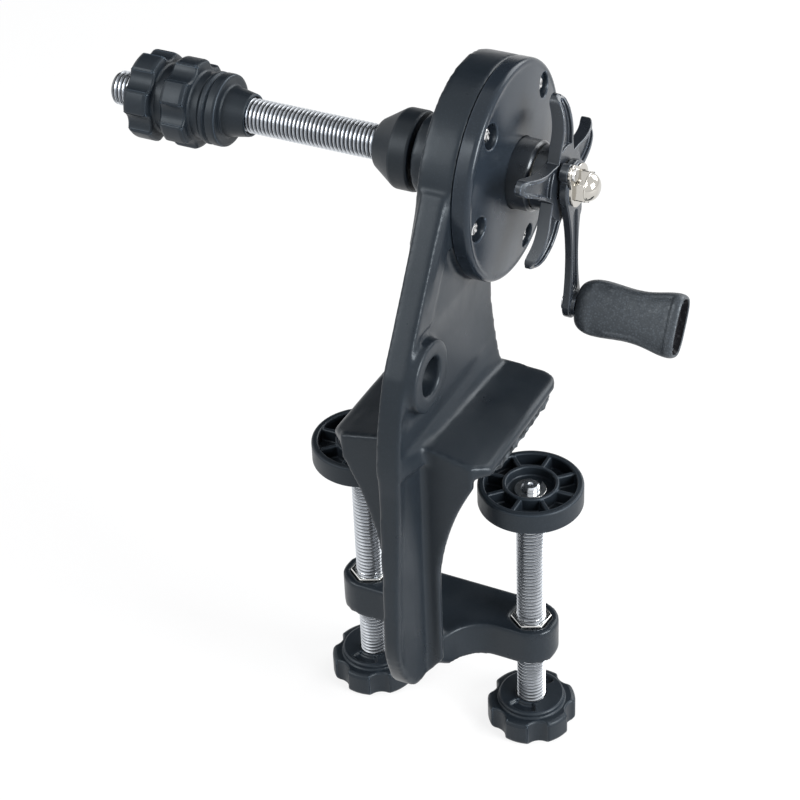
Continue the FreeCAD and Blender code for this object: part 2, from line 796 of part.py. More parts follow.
def spindle_bush():
    turned("spindle_bush", "x", *ring_profile(boss_end, floor_x, spindle_radius + running_gap,
                                              spindle_radius + bush_wall), at=AT_HEAD)


def gear_cover():
    """The domed cover with its inner collar, five deep screw seats and the hub bore."""
    face = parting + cover_edge
    bore = hub_radius + running_gap
    ceiling = collar_face + 1.2
    inner = cover_screw_circle - counterbore_radius - 0.6
    dome_top = face + cover_dome
    blank = turned(
        "gear_cover", "x",
        (parting, inner), (parting, cup_radius), (face - 2.2, cup_radius),
        ((face - 0.6, cup_radius - 0.7), (face, cover_face_radius)),
        ((face + cover_screw_rise + (cover_dome - cover_screw_rise) * 0.45, cover_screw_circle * 0.8),
         (dome_top, bore)),
        (collar_face, bore), (collar_face, bore + collar_wall), (ceiling, bore + collar_wall),
        (ceiling, inner), (parting, inner),
        at=AT_HEAD,
    )
    nodes.remove(blank)
    tools = []
    for angle in cover_screw_angles:
        y, z = polar(cover_screw_circle, angle)
        tools.append(rod("x", parting + counterbore_floor, dome_top + 1, counterbore_radius,
                         0, head_y + y, head_z + z))
        tools.append(rod("x", parting - 1, parting + counterbore_floor + 1, screw_radius + face_gap,
                         0, head_y + y, head_z + z))
    blank.Label = "cover_blank"
    finish(cut(blank, *tools), "gear_cover")


def cover_screws():
    seat = parting + counterbore_floor
    pieces = []
    for angle in cover_screw_angles:
        y, z = polar(cover_screw_circle, angle)
        head = rod("x", seat, seat + screw_head_height, screw_head_radius, 0, head_y + y, head_z + z)
        shank = rod("x", seat - screw_length, seat + 0.5, screw_radius, 0, head_y + y, head_z + z)
        socket = rod("x", seat + screw_head_height - 1, seat + screw_head_height + 1, screw_radius * 0.7,
                     0, head_y + y, head_z + z)
        pieces.append(cut(fuse(head, shank), socket))
    finish(fuse(*pieces), "cover_screws")


# Crank

def crank_hub():
    """Planet carrier, hub, sleeve and stud in one turned piece with a blind bore for the spindle nose."""
    nose_bore = spindle_nose_radius + running_gap
    blank = turned(
        "crank_hub", "x",
        (carrier_back, nose_bore), (carrier_back, carrier_radius), (carrier_front, carrier_radius),
        (carrier_front, hub_radius), (hub_face - 0.8, hub_radius), (hub_face, hub_radius - 0.8),
        (hub_face, sleeve_radius), (plate_back_x, sleeve_radius), (plate_back_x, stud_radius),
        (plate_back_x + stud_length, stud_radius), (plate_back_x + stud_length, 0),
        (train_end + spindle_nose_length + face_gap, 0),
        (train_end + spindle_nose_length + face_gap, nose_bore), (carrier_back, nose_bore),
        at=AT_HEAD,
    )
    nodes.remove(blank)
    blank.Label = "hub_blank"
    holes = []
    for number in range(planet_count):
        y, z = planet_place(number)
        holes.append(rod("x", carrier_back - 1, carrier_front + 1, planet_pin_radius, 0, head_y + y, head_z + z))
    finish(cut(blank, *holes), "crank_hub")


def crank_washers():
    turned("thrust_washer", "x",
           *ring_profile(carrier_front + face_gap, carrier_front + face_gap + washer_thickness,
                         hub_radius + running_gap, hub_radius + collar_wall), at=AT_HEAD)
    turned("drag_washer", "x",
           *ring_profile(hub_face + face_gap / 2, hub_face + face_gap / 2 + drag_washer_thickness,
                         sleeve_radius + running_gap, drag_washer_radius), at=AT_HEAD)


def star_wheel():
    """Five straight arms round a hub, all dished back at their tips, with a long slot in each front face."""
    solid = common(star_prism(as_size(0)), star_dish_body())
    slots = common(star_prism(star_rim), star_slot_band())
    bore = head_rod(star_back - 1, star_front + 1, sleeve_radius + running_gap)
    finish(cut(solid, slots, bore), "star_wheel")


def star_prism(rim):
    """The star's plan as a thick block, drawn inside the real edge by the width of a rim."""
    body = doc.addObject("PartDesign::Body", "StarPlan")
    disc = body.newObject("PartDesign::Pad", "Disc")
    disc.Profile = circle(body_sketch(body, "YZ_Plane", star_back), (0, 0), star_hub_radius - rim)
    bind(disc, Length=star_thickness)
    doc.recompute()
    arm = body.newObject("PartDesign::Pad", "Arm")
    arm.Profile = draw(body_sketch(body, "YZ_Plane", star_back - star_dish), *star_arm_outline(rim))
    bind(arm, Length=star_thickness + star_dish)
    doc.recompute()
    repeat(body, arm, "X_Axis", star_arms)
    return place(body, *AT_HEAD)


def star_arm_outline(rim):
    """One straight arm: hollow sides that narrow outwards, closed by a round tip."""
    root = star_hub_radius * 0.7
    shoulder = star_tip_radius - star_tip_half
    middle = (root + shoulder) / 2

    def at(along, across):
        turn = math.radians(star_first_tip)
        across = as_size(across)
        return (along * math.cos(turn) - across * math.sin(turn),
                along * math.sin(turn) + across * math.cos(turn))

    return (
        at(root, rim - star_root_half),
        (at(middle, rim - star_middle_half), at(shoulder, rim - star_tip_half)),
        (at(star_tip_radius - rim, 0), at(shoulder, star_tip_half - rim)),
        (at(middle, star_middle_half - rim), at(root, star_root_half - rim)),
        at(root, rim - star_root_half),
    )


def star_front_curve(depth):
    """The dished front of the star from its flat middle out to the tips, sunk by a depth."""
    face = star_front - depth
    bend_radius = (star_flat_radius + star_tip_radius) / 2
    return (face, star_flat_radius), (face - star_dish * 0.26, bend_radius), (face - star_dish, star_tip_radius)


def star_dish_body():
    flat_edge, bend, tip = star_front_curve(as_size(0))
    back_edge, back_bend, back_tip = star_front_curve(star_plate)
    dish = turned(
        "star_dish", "x",
        (star_back, 0), (star_front, 0), flat_edge, (bend, tip), back_tip, (back_bend, back_edge),
        (star_front - star_plate, star_hub_radius), (star_back, star_hub_radius), (star_back, 0),
        at=AT_HEAD,
    )
    nodes.remove(dish)
    return dish


def star_slot_band():
    """The space that the slots take: a ring that follows the dished front at the slots' depth."""
    floor_edge, floor_bend, floor_tip = star_front_curve(slot_depth)
    band = turned(
        "star_slots", "x",
        (star_front - slot_depth, star_slot_start), floor_edge, (floor_bend, floor_tip),
        (star_front + 1, star_tip_radius), (star_front + 1, star_slot_start),
        (star_front - slot_depth, star_slot_start),
        at=AT_HEAD,
    )
    nodes.remove(band)
    return band


def crank_arm_outline(inset, eye, end):
    """Waisted plate from the eye down to the knob, in the side view, centred on the head axis."""
    waist = crank_waist - inset
    low = -crank_throw
    return (
        (-eye * 0.94, -eye * 0.34),
        ((-waist, low * 0.42), (-end * 0.94, low + end * 0.34)),
        ((0, low - end), (end * 0.94, low + end * 0.34)),
        ((waist, low * 0.42), (eye * 0.94, -eye * 0.34)),
        ((0, eye), (-eye * 0.94, -eye * 0.34)),
    )


def head_slab(low, high, *points):
    """A side-view slab whose outline is measured from the head axis."""
    shifted = []
    for point in points:
        if isinstance(point[0], tuple):
            shifted.append(tuple((u + head_y, v + head_z) for u, v in point))
        else:
            shifted.append((point[0] + head_y, point[1] + head_z))
    return slab("side", low, high, *shifted)


def crank_arm():
    """The flat crank arm with a raised eye and a long slot sunk in its front face."""
    plate = head_slab(plate_back_x, plate_front_x,
                      *crank_arm_outline(as_size(0), crank_eye_radius, crank_knob_end))
    eye = head_rod(plate_front_x - 0.5, eye_face, crank_eye_radius * 0.88)
    half = crank_waist - slot_border
    top, low = -crank_eye_radius - 3, crank_knob_end - crank_throw + 1.5
    slot = head_slab(
        plate_front_x - slot_depth, plate_front_x + 1,
        (-half, top), (-half, low), ((0, low - half), (half, low)), (half, top),
        ((0, top + half), (-half, top)),
    )
    stud_hole = head_rod(plate_back_x - 1, eye_face + 1, stud_radius + face_gap)
    pin_hole = rod("x", plate_back_x - 1, plate_front_x + 1, knob_pin_radius + face_gap,
                   0, head_y, knob_pin_z)
    y, z = polar(retainer_reach, retainer_angle.value)
    screw_post = rod("x", plate_front_x - 0.5, eye_face, retainer_tail, 0, head_y + y, head_z + z)
    screw_plate = rod("x", plate_back_x, plate_front_x, retainer_tail, 0, head_y + y, head_z + z)
    screw_hole = rod("x", plate_back_x + 0.4, eye_face + 1, retainer_screw_radius, 0, head_y + y, head_z + z)
    finish(cut(fuse(plate, eye, screw_post, screw_plate), slot, stud_hole, pin_hole, screw_hole), "crank_arm")


def crank_nut():
    """Hex nut with a domed cap, threaded on the hub's stud."""
    hexagonal = hexagon("x", nut_flats, eye_face, nut_end - nut_cap_height, 0, head_y, head_z)
    cap_radius = nut_flats * 0.47
    cap_start = nut_end - nut_cap_height
    dome = turned("nut_dome", "x", (cap_start - 0.5, 0), (cap_start - 0.5, cap_radius), (cap_start, cap_radius),
                  ((cap_start + nut_cap_height * 0.72, cap_radius * 0.72), (nut_end, 0)),
                  (cap_start - 0.5, 0), at=AT_HEAD)
    nodes.remove(dome)
    bore = head_rod(eye_face - 1, plate_back_x + stud_length + face_gap, stud_radius + running_gap)
    finish(cut(fuse(hexagonal, dome), bore), "crank_nut")


def nut_retainer():
    """Teardrop plate that grips the nut's hexagon, held by one small screw."""
    y, z = polar(retainer_reach, retainer_angle.value)
    low, high = eye_face, eye_face + retainer_thickness
    disc = head_rod(low, high, retainer_radius)
    tail = rod("x", low, high, retainer_tail, 0, head_y + y, head_z + z)
    across_y, across_z = polar(as_size(1), retainer_angle.value + 90)
    bridge = head_slab(
        low, high,
        (across_y * retainer_radius * 0.9, across_z * retainer_radius * 0.9),
        (y + across_y * retainer_tail, z + across_z * retainer_tail),
        (y - across_y * retainer_tail, z - across_z * retainer_tail),
        (-across_y * retainer_radius * 0.9, -across_z * retainer_radius * 0.9),
        (across_y * retainer_radius * 0.9, across_z * retainer_radius * 0.9),
    )
    hex_hole = hexagon("x", nut_flats + face_gap, low - 1, high + 1, 0, head_y, head_z)
    screw_hole = rod("x", low - 1, high + 1, retainer_screw_radius + face_gap, 0, head_y + y, head_z + z)
    finish(cut(fuse(disc, tail, bridge), hex_hole, screw_hole), "nut_retainer")
    head = rod("x", high, high + 1, retainer_screw_radius * 2, 0, head_y + y, head_z + z)
    shank = rod("x", plate_back_x + 0.6, high + 0.5, retainer_screw_radius, 0, head_y + y, head_z + z)
    finish(fuse(head, shank), "retainer_screw")


def knob_pin():
    """Rivet through the crank arm: a head behind the plate and one inside the knob."""
    inner_head = knob_start + knob_bore_length + face_gap
    turned("knob_pin", "x",
           (plate_back_x - pin_head_height, 0), (plate_back_x - pin_head_height, knob_pin_head),
           (plate_back_x, knob_pin_head), (plate_back_x, knob_pin_radius), (inner_head, knob_pin_radius),
           (inner_head, knob_pin_head), (inner_head + pin_head_height, knob_pin_head),
           (inner_head + pin_head_height, 0), (plate_back_x - pin_head_height, 0),
           at=(0, head_y, knob_pin_z))
    turned("knob_spacer", "x",
           *ring_profile(plate_front_x, knob_start - face_gap, knob_pin_radius + running_gap,
                         knob_spacer_radius), at=(0, head_y, knob_pin_z))


def knob():
    """Paddle knob: a loft through leaning ellipses, hollow at the outer end."""
    stations = (
        (0.0, knob_small, 0.72), (0.06, knob_bulb * 0.88, 0.9), (0.2, knob_bulb, 1.0),
        (0.5, knob_waist, 0.94), (0.8, knob_end * 0.96, 1.0), (0.96, knob_end, 0.98), (1.0, knob_end * 0.95, 0.88),
    )
    sections = [
        knob_ellipse(knob_start + knob_length * share, half_height, knob_half_thickness * thickness_share)
        for share, half_height, thickness_share in stations
    ]
    loft = doc.addObject("Part::Loft", "KnobLoft")
    loft.Sections = sections
    loft.Solid = True
    loft.Ruled = False
    end = knob_start + knob_length
    bore = rod("x", knob_start - 1, end, knob_pin_radius + running_gap, 0, head_y, knob_pin_z)
    pocket_start = knob_start + knob_bore_length
    head_pocket = rod("x", pocket_start, end + 1, knob_pin_head + face_gap * 2, 0, head_y, knob_pin_z)
    recess = knob_plug(end - knob_recess_depth, knob_recess_depth + 1, as_size(0))
    finish(cut(loft, bore, head_pocket, recess), "knob")
    finish(knob_plug(end - knob_recess_depth, knob_cap_thickness, face_gap / 2), "knob_cap")


def knob_ellipse(at, half_height, half_width):
    """A section across the knob, whose long axis leans back from upright."""
    ring = add("Part::Ellipse", "Section", MajorRadius=half_height, MinorRadius=half_width)
    lean = Rotation(Vector(1, 0, 0), -knob_lean).multiply(Rotation(Vector(0, 1, 0), -90))
    return place(ring, at, head_y, knob_pin_z, lean)


def knob_plug(low, depth, inset):
    """An elliptical plug in the outer end of the knob."""
    plug = doc.addObject("Part::Extrusion", "Plug")
    plug.Base = knob_ellipse(low, knob_cap_height - inset, knob_cap_width - inset)
    plug.DirMode = "Custom"
    plug.Dir = Vector(1, 0, 0)
    plug.Solid = True
    bind(plug, LengthFwd=depth)
    return plug


# Spindle side

def spindle():
    turned("spindle_rod", "x",
           (spindle_end, 0), (spindle_end, spindle_radius - 1), (spindle_end + 1, spindle_radius),
           (train_end, spindle_radius), (train_end, spindle_nose_radius),
           (train_end + spindle_nose_length, spindle_nose_radius), (train_end + spindle_nose_length, 0),
           (spindle_end, 0), at=AT_HEAD)
    bore = spindle_radius + running_gap
    flat_end = drive_back - drive_cone_flat
    turned("drive_cone", "x",
           (drive_back, bore), (drive_back, boss_radius - 0.6), (drive_back - 0.6, boss_radius),
           (flat_end, boss_radius), (flat_end - drive_cone_taper, drive_nose_radius),
           (flat_end - drive_cone_taper, bore),
           (drive_back, bore), at=AT_HEAD)


def sliding_cone():
    """The cone that centres the spool's far end: hollow nose, long taper, grooved flange."""
    bore = spindle_radius + sliding_gap
    neck = sliding_nose_x - sliding_taper
    groove = neck - sliding_flange * 0.6
    turned("sliding_cone", "x",
           (sliding_nose_x - 1.2, bore), (sliding_nose_x, cone_nose_radius - 0.9),
           (sliding_nose_x, cone_nose_radius - 0.2), (neck, sliding_neck_radius),
           (neck, sliding_flange_radius - 0.6), (neck - 0.6, sliding_flange_radius),
           (groove, sliding_flange_radius), (groove, sliding_flange_radius - flange_groove),
           (groove - flange_groove, sliding_flange_radius - flange_groove),
           (groove - flange_groove, sliding_flange_radius), (flange_end, sliding_flange_radius),
           (flange_end, bore), (sliding_nose_x - 1.2, bore), at=AT_HEAD)


def lobed_nut(name, start, first_lobe):
    """A lobed lock nut: a round collar towards the cone and six lobes behind it."""
    body = doc.addObject("PartDesign::Body", "Nut")
    collar_end = start - nut_collar_length
    back = collar_end - lobe_length
    bore = spindle_radius + sliding_gap
    sketch = draw(body_sketch(body, "XZ_Plane"),
                  (start, bore), (start, nut_collar_radius), (collar_end, nut_collar_radius),
                  (collar_end, lobe_radius - 1), (collar_end - 1, lobe_radius), (back + 1, lobe_radius),
                  (back, lobe_radius - 1), (back, bore), (start, bore))
    doc.recompute()
    revolve = body.newObject("PartDesign::Revolution", "Revolve")
    revolve.Profile = sketch
    revolve.ReferenceAxis = (sketch, ["H_Axis"])
    revolve.Angle = 360
    doc.recompute()
    centre = polar(lobe_radius + notch_radius - notch_depth, first_lobe + 180.0 / lobe_count)
    notch = body.newObject("PartDesign::Pocket", "Notch")
    notch.Profile = circle(body_sketch(body, "YZ_Plane", collar_end), centre, notch_radius)
    bind(notch, Length=lobe_length + 1)
    doc.recompute()
    repeat(body, notch, "X_Axis", lobe_count)
    place(body, *AT_HEAD)
    return finish(body, name)


# Clamp screws

def clamp_pad(name, x):
    """The pressure pad: a shallow cup with a rim, an inner ring and open pockets between spokes."""
    body = doc.addObject("PartDesign::Body", "Pad")
    inner = pad_radius - pad_rim
    web_top = pad_bottom + pad_floor
    hub_floor = pad_top - pad_hub_depth
    bore = neck_radius + running_gap
    sketch = draw(body_sketch(body, "XZ_Plane"),
                  (bore, pad_bottom), (pad_radius, pad_bottom), (pad_radius, pad_top - 0.5),
                  (pad_radius - 0.5, pad_top), (inner, pad_top), (inner, web_top), (pad_ring_outer, web_top),
                  (pad_ring_outer, pad_top), (pad_ring_inner, pad_top), (pad_ring_inner, hub_floor),
                  (bore, hub_floor), (bore, pad_bottom))
    doc.recompute()
    revolve = body.newObject("PartDesign::Revolution", "Revolve")
    revolve.Profile = sketch
    revolve.ReferenceAxis = (sketch, ["V_Axis"])
    revolve.Angle = 360
    doc.recompute()
    spoke = body.newObject("PartDesign::Pad", "Spoke")
    half = spoke_width / 2
    spoke.Profile = draw(body_sketch(body, "XY_Plane", web_top - 0.5),
                         (pad_ring_outer - 0.5, -half), (inner + 0.5, -half), (inner + 0.5, half),
                         (pad_ring_outer - 0.5, half), (pad_ring_outer - 0.5, -half))
    bind(spoke, Length=pad_top - web_top)
    doc.recompute()
    repeat(body, spoke, "Z_Axis", pad_spokes)
    place(body, x, 0, 0)
    finish(body, name)


def clamp_rod(name, x):
    shoulder = pad_bottom - face_gap
    neck_top = pad_top - neck_drop
    turned(name, "z",
           (0, rod_end), (rod_radius, rod_end), (rod_radius, shoulder), (neck_radius, shoulder),
           (neck_radius, neck_top - 0.4), (neck_radius - 0.4, neck_top), (0, neck_top), (0, rod_end),
           at=(x, 0, 0))


def pad_clip(name, x):
    """A flat spring clip round the neck of the rod, which keeps the pad on."""
    low = pad_top - pad_hub_depth + face_gap
    ring = cut(rod("z", low, low + clip_thickness, clip_radius, x),
               rod("z", low - 1, low + 2, neck_radius + running_gap, x))
    mouth = slab("plan", low - 1, low + 2, (x - neck_radius * 0.7, 0), (x + neck_radius * 0.7, 0),
                 (x + neck_radius * 0.7, clip_radius + 1), (x - neck_radius * 0.7, clip_radius + 1),
                 (x - neck_radius * 0.7, 0))
    finish(cut(ring, mouth), name)


def clamp_knob(name, x, turn):
    """The lobed hand knob at the foot of a clamp rod, with two kidney slots in its collar."""
    body = doc.addObject("PartDesign::Body", "ClampKnob")
    collar = knob_top - clamp_collar_height
    back = collar - clamp_lobe_height
    bore = rod_radius + running_gap
    sketch = draw(body_sketch(body, "XZ_Plane"),
                  (bore, rod_end - face_gap), (0, rod_end - face_gap), (0, back), (clamp_knob_radius - 1, back),
                  (clamp_knob_radius, back + 1), (clamp_knob_radius, collar - 1),
                  (clamp_knob_radius - 1, collar), (nut_collar_radius, collar), (nut_collar_radius, knob_top),
                  (bore, knob_top), (bore, rod_end - face_gap))
    doc.recompute()
    revolve = body.newObject("PartDesign::Revolution", "Revolve")
    revolve.Profile = sketch
    revolve.ReferenceAxis = (sketch, ["V_Axis"])
    revolve.Angle = 360
    doc.recompute()
    notch_centre = polar(clamp_knob_radius + notch_radius - notch_depth, turn + 180.0 / lobe_count)
    notch = body.newObject("PartDesign::Pocket", "Notch")
    notch.Profile = circle(body_sketch(body, "XY_Plane", collar), notch_centre, notch_radius)
    bind(notch, Length=clamp_lobe_height + 1)
    doc.recompute()
    repeat(body, notch, "Z_Axis", lobe_count)
    doc.recompute()
    slot = body.newObject("PartDesign::Pocket", "Slot")
    low, high = rod_radius + 1.4, nut_collar_radius - 1.8
    slot.Profile = draw(body_sketch(body, "XY_Plane", knob_top),
                        polar(low, 60), (polar(low, 90), polar(low, 120)), polar(high, 120),
                        (polar(high, 90), polar(high, 60)), polar(low, 60))
    bind(slot, Length=slot_depth)
    doc.recompute()
    repeat(body, slot, "Z_Axis", 2)
    place(body, x, 0, 0)
    finish(body, name)


def clamp_nut(name, x):
    """The hex nut sunk in the lug, with a running bore for the rod."""
    high = plate_top + clamp_nut_proud
    low = high - clamp_nut_height
    finish(cut(hexagon("z", clamp_nut_flats, low, high, x, turn=clamp_nut_turn),
               rod("z", low - 1, high + 1, rod_radius + running_gap, x)), name)


arm_frame()
jaw_pad()
gear_train()
spindle_bush()
gear_cover()
cover_screws()
crank_hub()
crank_washers()
star_wheel()
crank_arm()
crank_nut()
nut_retainer()
knob_pin()
knob()
spindle()
sliding_cone()
lobed_nut("inner_lock_nut", flange_end - face_gap, 20.0)
lobed_nut("outer_lock_nut", flange_end - face_gap - nut_collar_length - lobe_length - outer_nut_space, 44.0)
for side_name, side in (("left", -1), ("right", 1)):
    clamp_pad(f"clamp_pad_{side_name}", clamp_x * side)
    clamp_rod(f"clamp_rod_{side_name}", clamp_x * side)
    pad_clip(f"pad_clip_{side_name}", clamp_x * side)
    clamp_knob(f"clamp_knob_{side_name}", clamp_x * side, clamp_knob_turn)
    clamp_nut(f"clamp_nut_{side_name}", clamp_x * side)

doc.recompute()

for thing in doc.Objects:
    if "Invalid" in thing.State or "Error" in thing.State:
        raise RuntimeError(f"{thing.Label} did not rebuild")
for node in nodes:
    if node.Shape.isNull() or not node.Shape.isValid():
        raise RuntimeError(f"{node.Label} has no sound shape")
for node in nodes:
    node.Shape.exportStep(f"parts/{node.Label}.step")
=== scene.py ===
"""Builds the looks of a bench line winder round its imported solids, and a pale stage to show it on."""

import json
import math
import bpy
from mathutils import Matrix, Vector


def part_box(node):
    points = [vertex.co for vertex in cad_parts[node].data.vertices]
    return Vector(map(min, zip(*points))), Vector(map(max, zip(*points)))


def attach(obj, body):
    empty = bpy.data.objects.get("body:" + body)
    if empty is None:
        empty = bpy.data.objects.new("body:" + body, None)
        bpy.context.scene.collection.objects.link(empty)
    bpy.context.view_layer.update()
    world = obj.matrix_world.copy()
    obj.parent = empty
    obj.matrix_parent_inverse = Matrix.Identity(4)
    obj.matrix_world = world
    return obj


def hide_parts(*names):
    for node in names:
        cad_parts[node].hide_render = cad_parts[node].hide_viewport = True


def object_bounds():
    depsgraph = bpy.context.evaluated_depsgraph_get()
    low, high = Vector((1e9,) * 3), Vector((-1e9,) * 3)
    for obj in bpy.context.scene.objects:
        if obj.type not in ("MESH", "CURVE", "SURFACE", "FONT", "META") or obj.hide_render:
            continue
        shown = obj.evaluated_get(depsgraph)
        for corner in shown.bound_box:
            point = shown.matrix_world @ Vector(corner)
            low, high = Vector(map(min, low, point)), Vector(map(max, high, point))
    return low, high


bl_info = {
    "name": "Bench line winder",
    "version": (1, 0, 0),
    "blender": (4, 5, 0),
    "location": "View3D > Sidebar > Winder",
    "description": "Dresses the solids of a bench line winder and sets up its stage",
    "category": "Object",
}

import bmesh
import bpy
from bpy.props import FloatProperty, FloatVectorProperty, PointerProperty
from mathutils import Matrix, Vector, noise

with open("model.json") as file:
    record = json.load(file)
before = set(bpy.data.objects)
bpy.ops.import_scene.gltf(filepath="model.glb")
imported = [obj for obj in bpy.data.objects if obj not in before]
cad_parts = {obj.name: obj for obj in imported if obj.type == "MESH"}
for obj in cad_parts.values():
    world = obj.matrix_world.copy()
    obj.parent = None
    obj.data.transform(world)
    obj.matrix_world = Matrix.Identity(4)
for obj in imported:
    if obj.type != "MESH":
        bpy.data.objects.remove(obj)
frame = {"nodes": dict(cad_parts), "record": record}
cad_low, cad_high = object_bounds()

MM = 0.001
JOIN = 2e-6                    # how close two corners lie that are one
FLAT = math.radians(0.4)       # faces that meet at less are one face
CORNER = math.radians(32)      # edges that turn by more are sharp
ROUND_CORNER = math.radians(60)

HEAD_Y, HEAD_Z = 0.0335, 0.0815        # the spindle's axis, which lies along X
KNOB_Y, KNOB_Z = 33.5, 36.3            # the paddle knob's axis, in millimetres
KNOB_LEAN = math.radians(31.3)
KNOB_TALL = Vector((0, math.sin(KNOB_LEAN), math.cos(KNOB_LEAN)))
KNOB_WIDE = Vector((0, math.cos(KNOB_LEAN), -math.sin(KNOB_LEAN)))

THREAD_STEPS = 28                      # corners round one turn of a thread
THREAD_PROFILE = ((0, 0.0), (0, 0.17), (1, 0.53), (1, 0.66), (0, 1.0))   # height, and place along the pitch
COVER_SCREW_ANGLES = (42, 130, 189, 286, 345)
COVER_SCREW_CIRCLE = 30.0 * MM
COVER_SCREW_SEAT = 9.0 * MM

BODY_OF = {
    node: body
    for body, members in frame["record"]["behaviour"]["bodies"].items()
    for node in members
}

WHITE = (1, 1, 1, 1)

finishes = {}


# Sizes and colours


class WinderSizes(bpy.types.PropertyGroup):
    """Sizes of what the solids leave plain."""

    edge: FloatProperty(
        name="Moulded edge",
        description="Rounding of the moulded nylon's edges",
        default=0.0006,
        unit="LENGTH",
    )
    metal_edge: FloatProperty(
        name="Metal edge",
        description="Rounding of the edges of the cast and pressed metal",
        default=0.00025,
        unit="LENGTH",
    )
    pitch: FloatProperty(
        name="Thread pitch",
        description="Pitch of the spindle's thread and of the clamp rods'",
        default=0.0015,
        unit="LENGTH",
    )
    thread_depth: FloatProperty(
        name="Thread depth",
        description="Depth of both threads, from crest to root",
        default=0.0009,
        unit="LENGTH",
    )
    grain: FloatProperty(
        name="Grain",
        description="Width of one bump of the moulded grain",
        default=0.00035,
        unit="LENGTH",
    )


class WinderColours(bpy.types.PropertyGroup):
    """Colours of the finishes."""

    nylon: FloatVectorProperty(
        name="Nylon",
        description="Glass-filled nylon of the arm, lock nuts and hand knobs",
        default=(0.010, 0.014, 0.019),
        subtype="COLOR",
    )
    cover: FloatVectorProperty(
        name="Cover",
        description="Satin face of the gear cover",
        default=(0.014, 0.019, 0.026),
        subtype="COLOR",
    )
    alloy: FloatVectorProperty(
        name="Alloy",
        description="Black paint of the crank, the hub and the star wheel",
        default=(0.011, 0.014, 0.019),
        subtype="COLOR",
    )
    zinc: FloatVectorProperty(
        name="Zinc",
        description="Zinc plate of the threaded rods",
        default=(0.62, 0.65, 0.69),
        subtype="COLOR",
    )
    chrome: FloatVectorProperty(
        name="Chrome",
        description="Bright plate of the cap nut, its retainer and the small screws",
        default=(0.56, 0.54, 0.50),
        subtype="COLOR",
    )
    rubber: FloatVectorProperty(
        name="Rubber",
        description="Worn rubber strip under the jaw",
        default=(0.035, 0.040, 0.045),
        subtype="COLOR",
    )
    grip: FloatVectorProperty(
        name="Grip",
        description="Soft paddle knob of the crank",
        default=(0.021, 0.025, 0.030),
        subtype="COLOR",
    )


class WinderStage(bpy.types.PropertyGroup):
    """The light and the floor."""

    sky: FloatProperty(
        name="Sky",
        description="Even light from all round, where 1 is white",
        default=0.34,
        min=0.0,
    )
    key: FloatProperty(
        name="Key",
        description="Power of the large soft lamp at the left front",
        default=9.0,
        subtype="POWER",
    )
    side: FloatProperty(
        name="Side",
        description="Power of the soft lamp at the right",
        default=20.0,
        subtype="POWER",
    )
    back: FloatProperty(
        name="Back",
        description="Power of the soft lamp behind, which draws the far edges",
        default=8.0,
        subtype="POWER",
    )
    floor: FloatVectorProperty(
        name="Floor",
        description="Colour of the floor",
        default=(0.96, 0.965, 0.975),
        subtype="COLOR",
    )
    floor_glow: FloatProperty(
        name="Floor glow",
        description="Share of the floor's tone that shadows don't darken",
        default=0.8,
        min=0.0,
        max=1.0,
    )


# Finishes


class Finish:
    """The nodes of one finish, which all start from the piece's own coordinates."""

    def __init__(self, name, roughness, metallic=0.0, specular=0.5):
        self.material = bpy.data.materials.new(name)
        self.material.use_nodes = True
        self.tree = self.material.node_tree
        self.shader = self.tree.nodes["Principled BSDF"]
        self.set("Roughness", roughness)
        self.set("Metallic", metallic)
        self.set("Specular IOR Level", specular)
        if not metallic:
            self.set("Specular Tint", (0.86, 0.94, 1.0, 1.0))
        self.place = self.tree.nodes.new("ShaderNodeTexCoord").outputs["Object"]

    def set(self, socket, value):
        """Gives one of the shader's sockets a number, a colour or another node's output."""
        self.fill(self.shader, {socket: value})

    def fill(self, node, values):
        """Sets or links each named input of a node."""
        for socket, value in values.items():
            if isinstance(value, bpy.types.NodeSocket):
                self.tree.links.new(value, node.inputs[socket])
            else:
                node.inputs[socket].default_value = value

    def node(self, kind, values, **settings):
        """Adds a node with its settings and its inputs."""
        made = self.tree.nodes.new(kind)
        for setting, value in settings.items():
            setattr(made, setting, value)
        self.fill(made, values)
        return made

    def noise(self, width, detail=3.0, stretch=(1.0, 1.0, 1.0)):
        """Cloudy values whose blots are about width across."""
        place = self.node("ShaderNodeMapping", {"Vector": self.place, "Scale": stretch})
        inputs = {"Vector": place.outputs["Vector"], "Scale": 1 / width, "Detail": detail}
        return self.node("ShaderNodeTexNoise", inputs).outputs["Fac"]

    def cells(self, width):
        """Distance to the nearest of many scattered points, about width apart."""
        inputs = {"Vector": self.place, "Scale": 1 / width}
        return self.node("ShaderNodeTexVoronoi", inputs).outputs["Distance"]

    def scale(self, value, low, high, to_low, to_high):
        """Stretches the values from low to high over to_low to to_high."""
        inputs = {"Value": value, "From Min": low, "From Max": high, "To Min": to_low, "To Max": to_high}
        return self.node("ShaderNodeMapRange", inputs).outputs["Result"]

    def mix(self, share, first, second):
        """Passes from the first colour to the second as share goes from 0 to 1."""
        inputs = {0: share, 6: opaque(first), 7: opaque(second)}
        return self.node("ShaderNodeMix", inputs, data_type="RGBA").outputs[2]

    def edges(self, width):
        """1 along sharp edges and 0 a little way from them."""
        rounded = self.node("ShaderNodeBevel", {"Radius": width}, samples=4).outputs["Normal"]
        flat = self.tree.nodes.new("ShaderNodeNewGeometry").outputs["Normal"]
        facing = self.node("ShaderNodeVectorMath", {0: rounded, 1: flat}, operation="DOT_PRODUCT")
        return self.scale(facing.outputs["Value"], 0.99, 0.86, 0.0, 1.0)

    def relief(self, height, depth, strength, under=None):
        """Raises the surface by depth where height is 1, over what lies under it, and gives its normal."""
        inputs = {"Height": height, "Distance": depth, "Strength": strength}
        if under is not None:
            inputs["Normal"] = under
        normal = self.node("ShaderNodeBump", inputs).outputs["Normal"]
        self.set("Normal", normal)
        return normal


